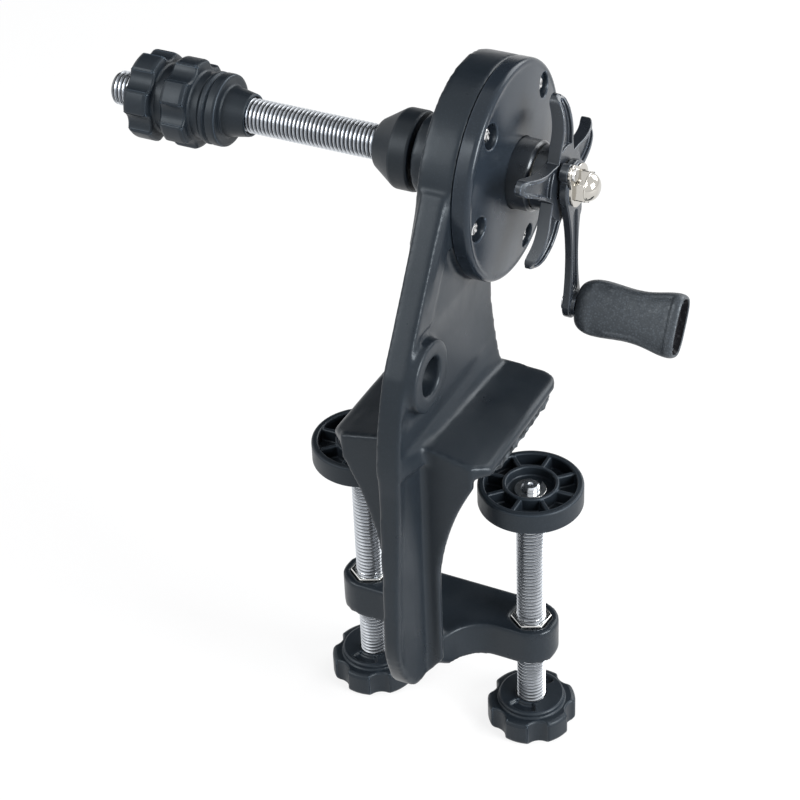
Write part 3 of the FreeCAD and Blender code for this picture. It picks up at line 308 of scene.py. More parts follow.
def opaque(colour):
    """A colour of three numbers with full alpha, and a socket as it is."""
    if isinstance(colour, bpy.types.NodeSocket):
        return colour
    return (*colour, 1.0)


def tinted(colour, factor):
    """A colour made lighter or darker by a factor."""
    return tuple(min(1.0, channel * factor) for channel in colour)


def moulded(name, colour, roughness, edge_wear_and_highlight, grain_depth=0.00004):
    """Moulded plastic: spark-eroded grain, slow changes of tone, and edges painted paler, partly as wear and
    partly as a painted highlight.
    """
    sizes = bpy.context.scene.winder_sizes
    finish = Finish(name, roughness, 0.0, 0.3)
    clouds = finish.noise(0.028, 4.0)
    tone = finish.mix(clouds, tinted(colour, 0.82), tinted(colour, 1.2))
    specks = finish.scale(finish.cells(sizes.grain * 2.4), 0.0, 0.35, 1.0, 0.0)
    tone = finish.mix(specks, tone, tinted(colour, 1.5))
    # Edges are painted paler: partly wear, partly a painted highlight along them.
    finish.set("Base Color", finish.mix(finish.edges(sizes.edge), tone, tinted(colour, edge_wear_and_highlight)))
    shine = finish.noise(0.011, 5.0)
    finish.set("Roughness", finish.scale(shine, 0.3, 0.7, roughness - 0.06, roughness + 0.07))
    grain = finish.noise(sizes.grain, 2.0)
    waves = finish.relief(finish.noise(0.006, 2.0), 0.00006, 0.5)
    finish.relief(grain, grain_depth, 0.7, waves)
    return finish.material


def painted(name, colour, roughness):
    """Satin paint on cast metal: a faint orange peel, and edges painted paler, partly where the paint is thin
    and partly as a painted highlight.
    """
    sizes = bpy.context.scene.winder_sizes
    finish = Finish(name, roughness, 0.0, 0.55)
    clouds = finish.noise(0.012, 3.0)
    tone = finish.mix(clouds, tinted(colour, 0.85), tinted(colour, 1.15))
    # Edges are painted paler: partly thin paint, partly a painted highlight.
    thin_paint_and_highlight = finish.edges(sizes.metal_edge * 1.6)
    finish.set("Base Color", finish.mix(thin_paint_and_highlight, tone, tinted(colour, 8.0)))
    peel = finish.noise(0.004)
    finish.set("Roughness", finish.scale(peel, 0.3, 0.7, roughness - 0.05, roughness + 0.06))
    finish.set("Coat Weight", 0.25)
    finish.set("Coat Roughness", 0.22)
    finish.relief(finish.noise(0.0011, 2.0), 0.00002, 0.6)
    return finish.material


def plated(name, colour, roughness):
    """Plated metal: fine scratches, dull patches and a slight change of tint."""
    finish = Finish(name, roughness, 1.0)
    patches = finish.noise(0.005, 4.0)
    finish.set("Base Color", finish.mix(patches, tinted(colour, 0.86), tinted(colour, 1.08)))
    finish.set("Roughness", finish.scale(patches, 0.35, 0.75, roughness, roughness + 0.08))
    finish.relief(finish.noise(0.0004, 3.0), 0.000006, 0.5)
    return finish.material


def zinc_plated(name, colour, roughness):
    """Zinc plate with fine scratches, whose thread is painted dark at the root as shade in the groove."""
    finish = Finish(name, roughness, 1.0)
    patches = finish.noise(0.005, 4.0)
    plate = finish.mix(patches, tinted(colour, 0.86), tinted(colour, 1.12))
    root = finish.node("ShaderNodeAttribute", {}, attribute_name="groove").outputs["Fac"]
    # Painted shade: the thread's root is darkened where the groove is deepest.
    painted_root_shade = finish.scale(root, 0.15, 0.95, 0.0, 1.0)
    finish.set("Base Color", finish.mix(painted_root_shade, plate, tinted(colour, 0.12)))
    finish.set("Roughness", finish.scale(root, 0.0, 1.0, roughness, roughness + 0.25))
    finish.relief(finish.noise(0.0004, 3.0, (1.0, 1.0, 0.08)), 0.000006, 0.5)
    return finish.material


def machined(name, colour, roughness, oil):
    """Bare cut metal with tool marks and a film of oil that darkens it in places."""
    finish = Finish(name, roughness, 1.0)
    film = finish.scale(finish.noise(0.004, 4.0), 0.4, 0.7, 0.0, 1.0)
    finish.set("Base Color", finish.mix(film, colour, tinted(colour, oil)))
    finish.set("Roughness", finish.scale(film, 0.0, 1.0, roughness, roughness * 0.6))
    finish.relief(finish.noise(0.0003, 2.0, (0.1, 1.0, 1.0)), 0.00001, 0.6)
    return finish.material


def rubber(name, colour):
    """Matt rubber, scuffed pale, with dark crumbs."""
    finish = Finish(name, 0.82, 0.0, 0.3)
    scuffs = finish.scale(finish.noise(0.0022, 5.0), 0.42, 0.62, 0.0, 1.0)
    tone = finish.mix(scuffs, tinted(colour, 0.45), tinted(colour, 1.7))
    crumbs = finish.scale(finish.cells(0.0016), 0.0, 0.3, 1.0, 0.0)
    finish.set("Base Color", finish.mix(crumbs, tone, tinted(colour, 0.25)))
    finish.relief(finish.noise(0.0006, 4.0), 0.00015, 0.8)
    return finish.material


def leathery(name, colour):
    """Soft-touch plastic with a pebbled texture, whose pebbles are painted lighter in specks as painted
    glints.
    """
    finish = Finish(name, 0.46)
    clouds = finish.noise(0.02, 3.0)
    tone = finish.mix(clouds, tinted(colour, 0.85), tinted(colour, 1.25))
    pebbles = finish.cells(0.0008)
    # Painted highlight: the pebbles' specks are painted lighter as glints.
    specks = finish.scale(pebbles, 0.0, 0.5, 1.0, 0.0)
    finish.set("Base Color", finish.mix(specks, tone, tinted(colour, 2.4)))
    finish.set("Roughness", finish.scale(finish.noise(0.0015, 4.0), 0.35, 0.65, 0.36, 0.56))
    finish.relief(pebbles, 0.00007, 0.7, finish.relief(finish.noise(0.003), 0.00008, 0.4))
    return finish.material


def glossy(name):
    """Gloss black moulding with a few dust marks."""
    finish = Finish(name, 0.3, 0.0, 0.06)
    dust = finish.scale(finish.noise(0.0015, 5.0), 0.55, 0.75, 0.0, 1.0)
    finish.set("Base Color", finish.mix(dust, (0.004, 0.004, 0.005), (0.02, 0.021, 0.023)))
    finish.set("Roughness", finish.scale(dust, 0.0, 1.0, 0.28, 0.45))
    finish.relief(finish.noise(0.004), 0.00003, 0.3)
    return finish.material


def mix_finishes():
    """Makes the finish of every material slot."""
    colours = bpy.context.scene.winder_colours
    finishes.update({
        "nylon_frame": moulded("arm_nylon", colours.nylon, 0.33, 6.0),
        "nylon_cover": moulded("cover_nylon", colours.cover, 0.22, 4.5, 0.00002),
        "nylon_knobs": moulded("knob_nylon", colours.nylon, 0.4, 4.0),
        "cone_plastic": moulded("cone_nylon", tinted(colours.nylon, 0.9), 0.42, 3.6),
        "pad_plastic": moulded("pad_nylon", colours.nylon, 0.42, 4.4),
        "black_alloy": painted("black_paint", colours.alloy, 0.3),
        "zinc_rod": zinc_plated("zinc_plate", colours.zinc, 0.22),
        "nickel_nut": plated("nickel_plate", (0.78, 0.78, 0.76), 0.18),
        "chrome_nut": plated("chrome_plate", colours.chrome, 0.06),
        "chrome_screw": plated("screw_plate", (0.8, 0.8, 0.8), 0.12),
        "steel_pin": machined("pin_steel", (0.6, 0.61, 0.63), 0.25, 0.7),
        "gear_steel": machined("gear_steel_cut", (0.5, 0.51, 0.53), 0.35, 0.45),
        "gear_plastic": moulded("gear_acetal", (0.72, 0.70, 0.64), 0.42, 1.1),
        "bronze": machined("bush_bronze", (0.66, 0.47, 0.26), 0.34, 0.5),
        "pad_rubber": rubber("jaw_rubber_finish", colours.rubber),
        "knob_grip": leathery("grip_skin", colours.grip),
        "gloss_cap": glossy("gloss_black"),
    })


# Making pieces


def stand_in(name, shape, nodes, slot, smooth=CORNER):
    """Turns a shape into a piece at the origin that stands for CAD nodes and takes a slot's finish."""
    mesh = bpy.data.meshes.new(name)
    shape.to_mesh(mesh)
    shape.free()
    stale = mesh.attributes.get("custom_normal")
    if stale:
        mesh.attributes.remove(stale)
    mesh.materials.clear()
    mesh.materials.append(finishes[slot])
    mesh.shade_smooth()
    mesh.set_sharp_from_angle(angle=smooth)
    piece = bpy.data.objects.new(name, mesh)
    bpy.context.scene.collection.objects.link(piece)
    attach(piece, BODY_OF[nodes[0]])
    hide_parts(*nodes)
    return piece


def soft_edged(name, node, slot, width, segments=2, reshape=None):
    """A piece with a CAD part's own shape, eased where reshape says, whose sharp edges are rounded."""
    shape = bmesh.new()
    shape.from_mesh(frame["nodes"][node].data)
    bmesh.ops.remove_doubles(shape, verts=shape.verts, dist=JOIN)
    bmesh.ops.dissolve_limit(shape, angle_limit=FLAT, verts=shape.verts, edges=shape.edges)
    if reshape:
        reshape(shape)
    piece = stand_in(name, shape, [node], slot)
    rounding = piece.modifiers.new("soft_edges", "BEVEL")
    rounding.width = width
    rounding.segments = segments
    rounding.limit_method = "ANGLE"
    rounding.angle_limit = CORNER
    rounding.use_clamp_overlap = False
    rounding.miter_outer = "MITER_ARC"
    shading = piece.modifiers.new("even_shading", "WEIGHTED_NORMAL")
    shading.keep_sharp = True
    return piece


def keep(node, slot):
    """Gives a CAD part that stays in view its finish."""
    part = frame["nodes"][node]
    if not part.material_slots:
        part.data.materials.append(finishes[slot])
    for place in part.material_slots:
        place.material = finishes[slot]


def all_of(shape):
    """Every vertex, edge and face of a shape."""
    return shape.verts[:] + shape.edges[:] + shape.faces[:]


def across(point):
    """How far a vertex lies from Z."""
    return math.hypot(point.co.x, point.co.y)


def turned(outline, steps=64):
    """A solid of revolution about Z from an outline of radius and height."""
    shape = bmesh.new()
    points = [shape.verts.new((radius, 0.0, height)) for radius, height in outline]
    lines = [shape.edges.new(pair) for pair in zip(points, points[1:])]
    bmesh.ops.spin(
        shape, geom=points + lines, cent=(0, 0, 0), axis=(0, 0, 1),
        angle=math.tau, steps=steps, use_merge=True,
    )
    bmesh.ops.remove_doubles(shape, verts=shape.verts, dist=JOIN)
    bmesh.ops.recalc_face_normals(shape, faces=shape.faces)
    return shape


def lay(shape, place, along_x=False):
    """Moves a shape made about Z to its place, turned so that Z points along X where asked."""
    turn = Matrix.Rotation(math.radians(90), 4, "Y") if along_x else Matrix.Identity(4)
    bmesh.ops.transform(shape, matrix=Matrix.Translation(place) @ turn, verts=shape.verts)
    return shape


def thread(radius, low, high, lead_in):
    """A screw thread about Z: one turn of its profile, repeated up the rod and cut off square at its ends."""
    sizes = bpy.context.scene.winder_sizes
    reach = {0: radius - sizes.thread_depth, 1: radius}
    shape = bmesh.new()
    points = [
        shape.verts.new((reach[height], 0.0, low + (rise - 1) * sizes.pitch))
        for height, rise in THREAD_PROFILE
    ]
    lines = [shape.edges.new(pair) for pair in zip(points, points[1:])]
    bmesh.ops.spin(
        shape, geom=points + lines, cent=(0, 0, 0), axis=(0, 0, 1),
        dvec=(0, 0, sizes.pitch / THREAD_STEPS), angle=math.tau, steps=THREAD_STEPS,
    )
    turns = 1
    while turns * sizes.pitch < high - low + 2 * sizes.pitch:
        again = bmesh.ops.duplicate(shape, geom=all_of(shape))["geom"]
        moved = [item for item in again if isinstance(item, bmesh.types.BMVert)]
        bmesh.ops.translate(shape, vec=(0, 0, turns * sizes.pitch), verts=moved)
        turns *= 2
    bmesh.ops.remove_doubles(shape, verts=shape.verts, dist=JOIN * 10)
    for height, way in ((low, -1), (high, 1)):
        bmesh.ops.bisect_plane(
            shape, geom=all_of(shape), dist=1e-7,
            plane_co=(0, 0, height), plane_no=(0, 0, way), clear_outer=True,
        )
        rim = [e for e in shape.edges if e.is_boundary and abs(e.verts[0].co.z - height) < 1e-5]
        bmesh.ops.holes_fill(shape, edges=rim)
    for point in shape.verts:
        to_end = min(point.co.z - low, high - point.co.z)
        shrink = min(1.0, (radius - lead_in + to_end) / across(point))
        point.co.x *= shrink
        point.co.y *= shrink
    bmesh.ops.recalc_face_normals(shape, faces=shape.faces)
    # groove: 0 at the crest and 1 at the root, which the zinc finish uses to paint shade into the root.
    groove = shape.verts.layers.float.new("groove")
    for point in shape.verts:
        point[groove] = share(radius - across(point), 0.0, sizes.thread_depth)
    return shape


def cross_head(radius, height, recess, shank, shank_length):
    """A pan-head screw about Z, standing on z 0, with a cross recess in its head."""
    half = recess * 0.28
    foot_scale, foot_height = 0.55, height * 0.35
    shape = turned(
        [(0.0, -shank_length), (shank, -shank_length), (shank, 0.0), (radius, 0.0), (radius, height * 0.3),
         (radius * 0.94, height * 0.62), (radius * 0.8, height * 0.87), (radius * 0.62, height)],
        steps=36,
    )
    rim = [e for e in shape.edges if e.is_boundary]
    corners = [
        (recess, -half), (recess, half), (half, half), (half, recess), (-half, recess), (-half, half),
        (-recess, half), (-recess, -half), (-half, -half), (-half, -recess), (half, -recess), (half, -half),
    ]
    cross = [shape.verts.new((x, y, height)) for x, y in corners]
    lines = [shape.edges.new(pair) for pair in zip(cross, cross[1:] + cross[:1])]
    bmesh.ops.triangle_fill(shape, use_beauty=True, edges=rim + lines, normal=(0, 0, 1))
    inner = [f for f in shape.faces if all(v in cross for v in f.verts)]
    bmesh.ops.delete(shape, geom=inner, context="FACES_ONLY")
    walls = bmesh.ops.extrude_edge_only(shape, edges=lines)["geom"]
    foot = [item for item in walls if isinstance(item, bmesh.types.BMVert)]
    for point in foot:
        point.co.x *= foot_scale
        point.co.y *= foot_scale
        point.co.z = foot_height
    bottom = [
        item for item in walls
        if isinstance(item, bmesh.types.BMEdge) and all(v in foot for v in item.verts)
    ]
    bmesh.ops.triangle_fill(shape, use_beauty=True, edges=bottom, normal=(0, 0, 1))
    bmesh.ops.recalc_face_normals(shape, faces=shape.faces)
    return shape


def join_shapes(shapes):
    """One shape that holds several."""
    whole = bmesh.new()
    for shape in shapes:
        part = bpy.data.meshes.new("part")
        shape.to_mesh(part)
        shape.free()
        whole.from_mesh(part)
        bpy.data.meshes.remove(part)
    return whole


def section(shape, along, half_height, half_width):
    """A ring across the paddle knob: a rounded rectangle that leans back from upright."""
    squareness = 0.62
    ring = bmesh.ops.create_circle(shape, segments=24, radius=1.0)["verts"]
    for point in ring:
        up = math.copysign(abs(point.co.x) ** squareness, point.co.x) * half_height
        out = math.copysign(abs(point.co.y) ** squareness, point.co.y) * half_width
        point.co = (Vector((along, KNOB_Y, KNOB_Z)) + KNOB_TALL * up + KNOB_WIDE * out) * MM
    return list(dict.fromkeys(edge for point in ring for edge in point.link_edges))


def bridged(rings):
    """A closed shape over rings across the knob, each with its place, half height and half width in mm."""
    shape = bmesh.new()
    loops = [section(shape, *ring) for ring in rings]
    for first, second in zip(loops, loops[1:]):
        bmesh.ops.bridge_loops(shape, edges=first + second)
    for loop in (loops[0], loops[-1]):
        bmesh.ops.holes_fill(shape, edges=loop)
    bmesh.ops.recalc_face_normals(shape, faces=shape.faces)
    return shape


def paddle():
    """The paddle knob, with a recess in its end and a sunk panel on each side."""
    panel_start, panel_end, panel_depth = 38.0 * MM, 66.5 * MM, 0.7 * MM
    panel_reach = 4.2 * MM
    shape = bridged((
        (34.2, 5.2, 3.7), (34.5, 6.4, 4.6), (36.0, 8.3, 5.8), (39.5, 9.6, 6.2), (45.0, 9.4, 6.2),
        (52.0, 8.6, 6.0), (58.0, 9.0, 6.1), (63.0, 10.3, 6.3), (66.8, 10.9, 6.3), (68.6, 10.7, 6.2),
        (69.5, 10.1, 5.8), (69.7, 9.5, 5.3), (69.2, 9.2, 5.0), (67.25, 9.1, 4.9),
    ))
    axis = Vector((0, KNOB_Y, KNOB_Z)) * MM
    for way in (1, -1):
        panel = []
        for face in shape.faces:
            middle = face.calc_center_median()
            along_side = panel_start < middle.x < panel_end
            faces_out = face.normal.dot(KNOB_WIDE) * way > 0.72
            if along_side and faces_out and (middle - axis).dot(KNOB_WIDE) * way > panel_reach:
                panel.append(face)
        bmesh.ops.inset_region(
            shape, faces=panel, thickness=panel_depth, depth=-panel_depth,
            use_even_offset=True, use_boundary=True,
        )
    return shape


def paddle_plug():
    """The gloss plug in the knob's end: a dish with a rounded lip."""
    return bridged((
        (67.3, 9.0, 4.8), (69.1, 9.2, 5.0), (69.3, 9.0, 4.8), (67.9, 8.3, 4.2), (67.8, 7.6, 3.6),
    ))


def worn_strip():
    """The rubber strip: the jaw's plan, with chamfered front corners, ragged sides and a few nicks."""
    low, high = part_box("jaw_pad")
    middle = (low + high) / 2
    shape = bmesh.new()
    bmesh.ops.create_cube(shape, size=1.0)
    bmesh.ops.scale(shape, vec=high - low, verts=shape.verts)
    bmesh.ops.translate(shape, vec=middle, verts=shape.verts)
    for at_front, offset, segments in ((True, 5.0 * MM, 1), (False, 9.0 * MM, 5)):
        corners = [
            edge for edge in shape.edges
            if abs(edge.verts[0].co.z - edge.verts[1].co.z) > 3.0 * MM
            and (edge.verts[0].co.y < 0) == at_front
            and abs(edge.verts[0].co.x) > 27.0 * MM
            and abs(abs(edge.verts[0].co.y - middle.y) - (high.y - low.y) / 2) < 0.1 * MM
        ]
        bmesh.ops.bevel(
            shape, geom=corners, offset=offset, offset_type="OFFSET", segments=segments,
            profile=0.5, affect="EDGES", material=-1,
        )
    levels = (0.3, 0.7)
    slices = 56
    cuts = [((0, 0, low.z + (high.z - low.z) * level), (0, 0, 1)) for level in levels]
    cuts += [((0, low.y + (high.y - low.y) * cut / slices, 0), (0, 1, 0)) for cut in range(1, slices)]
    for place, normal in cuts:
        bmesh.ops.bisect_plane(shape, geom=all_of(shape), plane_co=place, plane_no=normal)
    bmesh.ops.remove_doubles(shape, verts=shape.verts, dist=JOIN)
    for point in shape.verts:
        if abs(point.co.x) > 26.5 * MM:
            ragged = noise.noise(point.co * 420) + 0.6 * noise.noise(point.co * 1100)
            point.co.x -= math.copysign(0.00045 + 0.0006 * ragged, point.co.x)
    nicks = []
    for face in shape.faces:
        centre = face.calc_center_median()
        on_side = abs(face.normal.x) > 0.7 and abs(centre.z - middle.z) < 0.6 * MM
        in_row = int((centre.y - low.y) * 900) % 9 in (2, 3)
        if on_side and in_row and noise.noise(centre * 90) > -0.05:
            nicks.append(face)
    bmesh.ops.inset_individual(shape, faces=nicks, thickness=0.2 * MM)
    for face in bmesh.ops.extrude_discrete_faces(shape, faces=nicks)["faces"]:
        way = -1 if face.calc_center_median().x > 0 else 1
        bmesh.ops.translate(shape, vec=(way * 1.5 * MM, 0, 0), verts=face.verts)
    return shape


def from_head(point):
    """How far a point lies from the spindle's axis."""
    return math.hypot(point.y - HEAD_Y, point.z - HEAD_Z)


def share(value, low, high):
    """How far a value has come from low to high, from 0 to 1."""
    return max(0.0, min(1.0, (value - low) / (high - low)))


def ease_arm(shape):
    """Narrows the web in front of the jaw and lifts the heel of the foot; all numbers are millimetres."""
    for point in shape.verts:
        x, y, z = point.co / MM
        on_ring = math.hypot(y + 22.9, z - 36.3) < 12.4
        if y < -29.65 and -40 < z < 41 and not on_ring:
            flange = 3.0 + 1.2 * share(z, -42.4, 20.0)
            web = 3.3 if z > 13 else 3.0 + 2.8 * share(y, -42.6, -29.6)
            half = max(web, flange) if y < -35.5 else web
            if abs(x) > half:
                point.co.x = math.copysign(half, x) * MM
        if z < -84 and abs(x) < 6.2 and y < -20:
            point.co.z += 3.6 * share(y, -41.0, -31.0) * share(-z, 84.0, 88.0) * MM
        elif z < -80 and 6.2 <= abs(x) < 10.8 and y < -26:
            point.co.z = max(z, -78.0 - (10.6 - abs(x)) * 1.3) * MM
        if 23.15 < abs(x) < 23.35 and y < -29 and z > -0.5:
            point.co.x = math.copysign(23.2, x) * MM
    bmesh.ops.remove_doubles(shape, verts=shape.verts, dist=JOIN * 5)
    bmesh.ops.dissolve_degenerate(shape, dist=JOIN, edges=shape.edges)


def flange_root():
    """The wedge that widens the front flange into the cup, in millimetres."""
    top, bottom = 87.5, 51.0
    top_front, bottom_front, depth = -2.7, -23.4, 9.0
    top_left, top_right, bottom_half = 6.4, 5.8, 4.1
    shape = bmesh.new()
    for point in bmesh.ops.create_cube(shape, size=2.0)["verts"]:
        at_top, at_front, at_right = point.co.z > 0, point.co.y < 0, point.co.x > 0
        half = (top_right if at_right else top_left) if at_top else bottom_half
        front = top_front if at_top else bottom_front
        point.co = Vector((
            half if at_right else -half, front if at_front else front + depth, top if at_top else bottom,
        )) * MM
    return shape


def ease_star(shape):
    """Brings the star wheel's arms forward, nearly into the plane of its hub, and rounds their ends."""
    flat, tip, rounded_from, rounding = 14.0, 29.6, 25.2, 4.4
    hub_middle, dish, forward = 27.05, 5.6, 2.8
    for point in shape.verts:
        reach = from_head(point.co) / MM
        out = share(reach, flat, tip)
        middle = (hub_middle - dish * (0.96 * out * out + 0.04 * out)) * MM
        if reach > rounded_from:
            thickness = math.sqrt(1.0 - min(0.8, ((reach - rounded_from) / rounding) ** 2))
            point.co.x = middle + (point.co.x - middle) * thickness
        point.co.x += forward * MM * out


def ease_cover(shape):
    """Deepens the cover's rim, so that its face starts further forward."""
    seam, inner, rim, forward = 6.4, 12.0, 36.0, 2.4
    for point in shape.verts:
        if point.co.x > seam * MM:
            point.co.x += forward * MM * share(from_head(point.co) / MM, inner, rim) ** 2.5


# Pieces


class FrameMouldings(bpy.types.Operator):
    """Dress the moulded arm and the gear cover"""

    bl_idname = "winder.frame_mouldings"
    bl_label = "Arm and cover"

    def execute(self, context):
        edge = context.scene.winder_sizes.edge
        shape = bmesh.new()
        shape.from_mesh(frame["nodes"]["arm_frame"].data)
        bmesh.ops.remove_doubles(shape, verts=shape.verts, dist=JOIN)
        ease_arm(shape)
        arm = stand_in("arm_moulding", join_shapes([shape, flange_root()]), ["arm_frame"], "nylon_frame")
        skin = arm.modifiers.new("moulded_skin", "REMESH")
        skin.mode = "VOXEL"
        skin.voxel_size = 0.8 * MM
        skin.use_smooth_shade = True
        fillets = arm.modifiers.new("fillets", "SMOOTH")
        fillets.factor = 0.5
        fillets.iterations = 9
        soft_edged("cover_moulding", "gear_cover", "nylon_cover", edge * 0.6, reshape=ease_cover)
        return {"FINISHED"}


class JawRubber(bpy.types.Operator):
    """Dress the rubber strip under the jaw"""

    bl_idname = "winder.jaw_rubber"
    bl_label = "Jaw rubber"

    def execute(self, context):
        stand_in("jaw_rubber", worn_strip(), ["jaw_pad"], "pad_rubber")
        return {"FINISHED"}


class CoverScrews(bpy.types.Operator):
    """Put cross-head screws in the gear cover"""

    bl_idname = "winder.cover_screws"
    bl_label = "Cover screws"

    def execute(self, context):
        screws = []
        for angle in COVER_SCREW_ANGLES:
            turn = math.radians(angle)
            back, up = COVER_SCREW_CIRCLE * math.cos(turn), COVER_SCREW_CIRCLE * math.sin(turn)
            screw = cross_head(
                radius=2.8 * MM, height=1.95 * MM, recess=1.55 * MM, shank=1.4 * MM, shank_length=6.0 * MM,
            )
            spun = Matrix.Rotation(turn * 3, 3, "Z")
            bmesh.ops.rotate(screw, cent=(0, 0, 0), matrix=spun, verts=screw.verts)
            screws.append(lay(screw, (COVER_SCREW_SEAT, HEAD_Y + back, HEAD_Z + up), along_x=True))
        stand_in("cover_screw_set", join_shapes(screws), ["cover_screws"], "chrome_screw")
        return {"FINISHED"}


class GearTrain(bpy.types.Operator):
    """Give the gears, pins, washers and bush inside the head their finishes"""

    bl_idname = "winder.gear_train"
    bl_label = "Gear train"

    def execute(self, context):
        keep("ring_gear", "gear_plastic")
        keep("sun_gear", "gear_steel")
        for number in (1, 2, 3):
            keep(f"planet_gear_{number}", "gear_plastic")
        keep("planet_pins", "steel_pin")
        keep("thrust_washer", "gear_plastic")
        keep("drag_washer", "gear_plastic")
        keep("spindle_bush", "bronze")
        return {"FINISHED"}


class CrankParts(bpy.types.Operator):
    """Dress the hub, the crank, the cap nut and its retainer"""

    bl_idname = "winder.crank_parts"
    bl_label = "Crank"

    def execute(self, context):
        edge = context.scene.winder_sizes.metal_edge
        soft_edged("hub_casting", "crank_hub", "black_alloy", edge)
        soft_edged("crank_plate", "crank_arm", "black_alloy", edge * 1.6)
        soft_edged("cap_nut", "crank_nut", "chrome_nut", edge * 1.6, 3)
        soft_edged("retainer_plate", "nut_retainer", "chrome_nut", edge * 0.8)
        soft_edged("retainer_screw_head", "retainer_screw", "chrome_screw", edge * 0.8)
        keep("knob_pin", "steel_pin")
        keep("knob_spacer", "black_alloy")
        return {"FINISHED"}


class StarWheel(bpy.types.Operator):
    """Dress the star wheel that sets the drag"""

    bl_idname = "winder.star_wheel"
    bl_label = "Star wheel"

    def execute(self, context):
        edge = context.scene.winder_sizes.metal_edge
        soft_edged("drag_star", "star_wheel", "black_alloy", edge, reshape=ease_star)
        return {"FINISHED"}


class PaddleKnob(bpy.types.Operator):
    """Build the paddle knob and the gloss cap in its end"""

    bl_idname = "winder.paddle_knob"
    bl_label = "Paddle knob"

    def execute(self, context):
        grip = stand_in("paddle_grip", paddle(), ["knob"], "knob_grip", ROUND_CORNER)
        skin = grip.modifiers.new("smooth_skin", "SUBSURF")
        skin.levels = 2
        skin.render_levels = 2
        stand_in("paddle_cap", paddle_plug(), ["knob_cap"], "gloss_cap")
        return {"FINISHED"}


class Spindle(bpy.types.Operator):
    """Cut the spindle's thread and dress the drive cone"""

    bl_idname = "winder.spindle"
    bl_label = "Spindle"

    def execute(self, context):
        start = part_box("spindle_rod")[0].x
        thread_end, radius, lead_in = -19.5 * MM, 6.0 * MM, 1.0 * MM
        rod = thread(radius, start, thread_end, lead_in)
        journal = turned([(0.0, thread_end), (radius, thread_end), (radius, 0.0)])
        for shape in (rod, journal):
            lay(shape, (0, HEAD_Y, HEAD_Z), along_x=True)
        stand_in("spindle_thread", join_shapes([rod, journal]), ["spindle_rod"], "zinc_rod")
        soft_edged("drive_cone_moulding", "drive_cone", "cone_plastic", 0.5 * MM)
        return {"FINISHED"}


class LockNuts(bpy.types.Operator):
    """Dress the sliding cone and the two lock nuts"""

    bl_idname = "winder.lock_nuts"
    bl_label = "Cone and lock nuts"

    def execute(self, context):
        edge = context.scene.winder_sizes.edge
        soft_edged("sliding_cone_moulding", "sliding_cone", "cone_plastic", edge)
        soft_edged("inner_nut_moulding", "inner_lock_nut", "nylon_knobs", edge * 1.2)
        soft_edged("outer_nut_moulding", "outer_lock_nut", "nylon_knobs", edge * 1.2)
        return {"FINISHED"}


class TableClamps(bpy.types.Operator):
    """Build the two clamp screws with their pads, clips, nuts and hand knobs"""

    bl_idname = "winder.table_clamps"
    bl_label = "Table clamps"

    def execute(self, context):
        edge = context.scene.winder_sizes.edge
        for side in ("left", "right"):
            low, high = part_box(f"clamp_rod_{side}")
            radius = (high.x - low.x) / 2
            centre = Vector(((low.x + high.x) / 2, (low.y + high.y) / 2, 0))
            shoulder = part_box(f"clamp_pad_{side}")[0].z - 0.3 * MM
            rod = thread(radius, low.z, shoulder, 0.8 * MM)
            neck = turned([
                (0.0, shoulder), (3.0 * MM, shoulder), (3.0 * MM, high.z - 0.5 * MM), (2.4 * MM, high.z),
                (0.9 * MM, high.z), (0.6 * MM, high.z - 0.6 * MM), (0.0, high.z - 0.7 * MM),
            ], steps=40)
            stand_in(
                f"clamp_thread_{side}", join_shapes([lay(rod, centre), lay(neck, centre)]),
                [f"clamp_rod_{side}"], "zinc_rod",
            )
            soft_edged(f"pad_moulding_{side}", f"clamp_pad_{side}", "pad_plastic", edge * 0.6)
            soft_edged(f"clip_{side}", f"pad_clip_{side}", "chrome_screw", 0.15 * MM)
            soft_edged(f"hex_nut_{side}", f"clamp_nut_{side}", "nickel_nut", 0.3 * MM)
            soft_edged(f"hand_knob_{side}", f"clamp_knob_{side}", "nylon_knobs", edge)
        return {"FINISHED"}


# Stage


def aimed_lamp(name, place, target, size, power):
    """A large soft lamp that faces a point."""
    data = bpy.data.lights.new(name, "AREA")
    data.shape = "SQUARE"
    data.size = size
    data.energy = power
    lamp = bpy.data.objects.new(name, data)
    lamp.location = place
    lamp.rotation_mode = "QUATERNION"
    lamp.rotation_quaternion = (Vector(target) - Vector(place)).to_track_quat("-Z", "Y")
    bpy.context.scene.collection.objects.link(lamp)


def seen_rays(tree):
    """1 where the eye, a reflection or a refraction looks at the surface, and 0 for the light it gives."""
    path = tree.nodes.new("ShaderNodeLightPath")
    total = path.outputs["Is Camera Ray"]
    for ray in ("Is Glossy Ray", "Is Transmission Ray"):
        both = tree.nodes.new("ShaderNodeMath")
        both.operation = "MAXIMUM"
        tree.links.new(total, both.inputs[0])
        tree.links.new(path.outputs[ray], both.inputs[1])
        total = both.outputs[0]
    return total


def floor_finish():
    """Pale paper: part of its tone is its own, and the rest takes the light and the shadow."""
    stage = bpy.context.scene.winder_stage
    finish = Finish("stage_paper", 0.9, 0.0, 0.0)
    fibres = finish.noise(0.004, 4.0)
    finish.set("Base Color", finish.mix(fibres, tinted(stage.floor, 0.99), tinted(stage.floor, 1.01)))
    glow = finish.node("ShaderNodeEmission", {"Color": WHITE, "Strength": 1.0})
    inputs = {0: seen_rays(finish.tree), 1: stage.floor_glow}
    glow_share = finish.node("ShaderNodeMath", inputs, operation="MULTIPLY")
    both = finish.node("ShaderNodeMixShader", {
        0: glow_share.outputs[0], 1: finish.shader.outputs[0], 2: glow.outputs[0],
    })
    finish.tree.links.new(both.outputs[0], finish.tree.nodes["Material Output"].inputs["Surface"])
    return finish.material


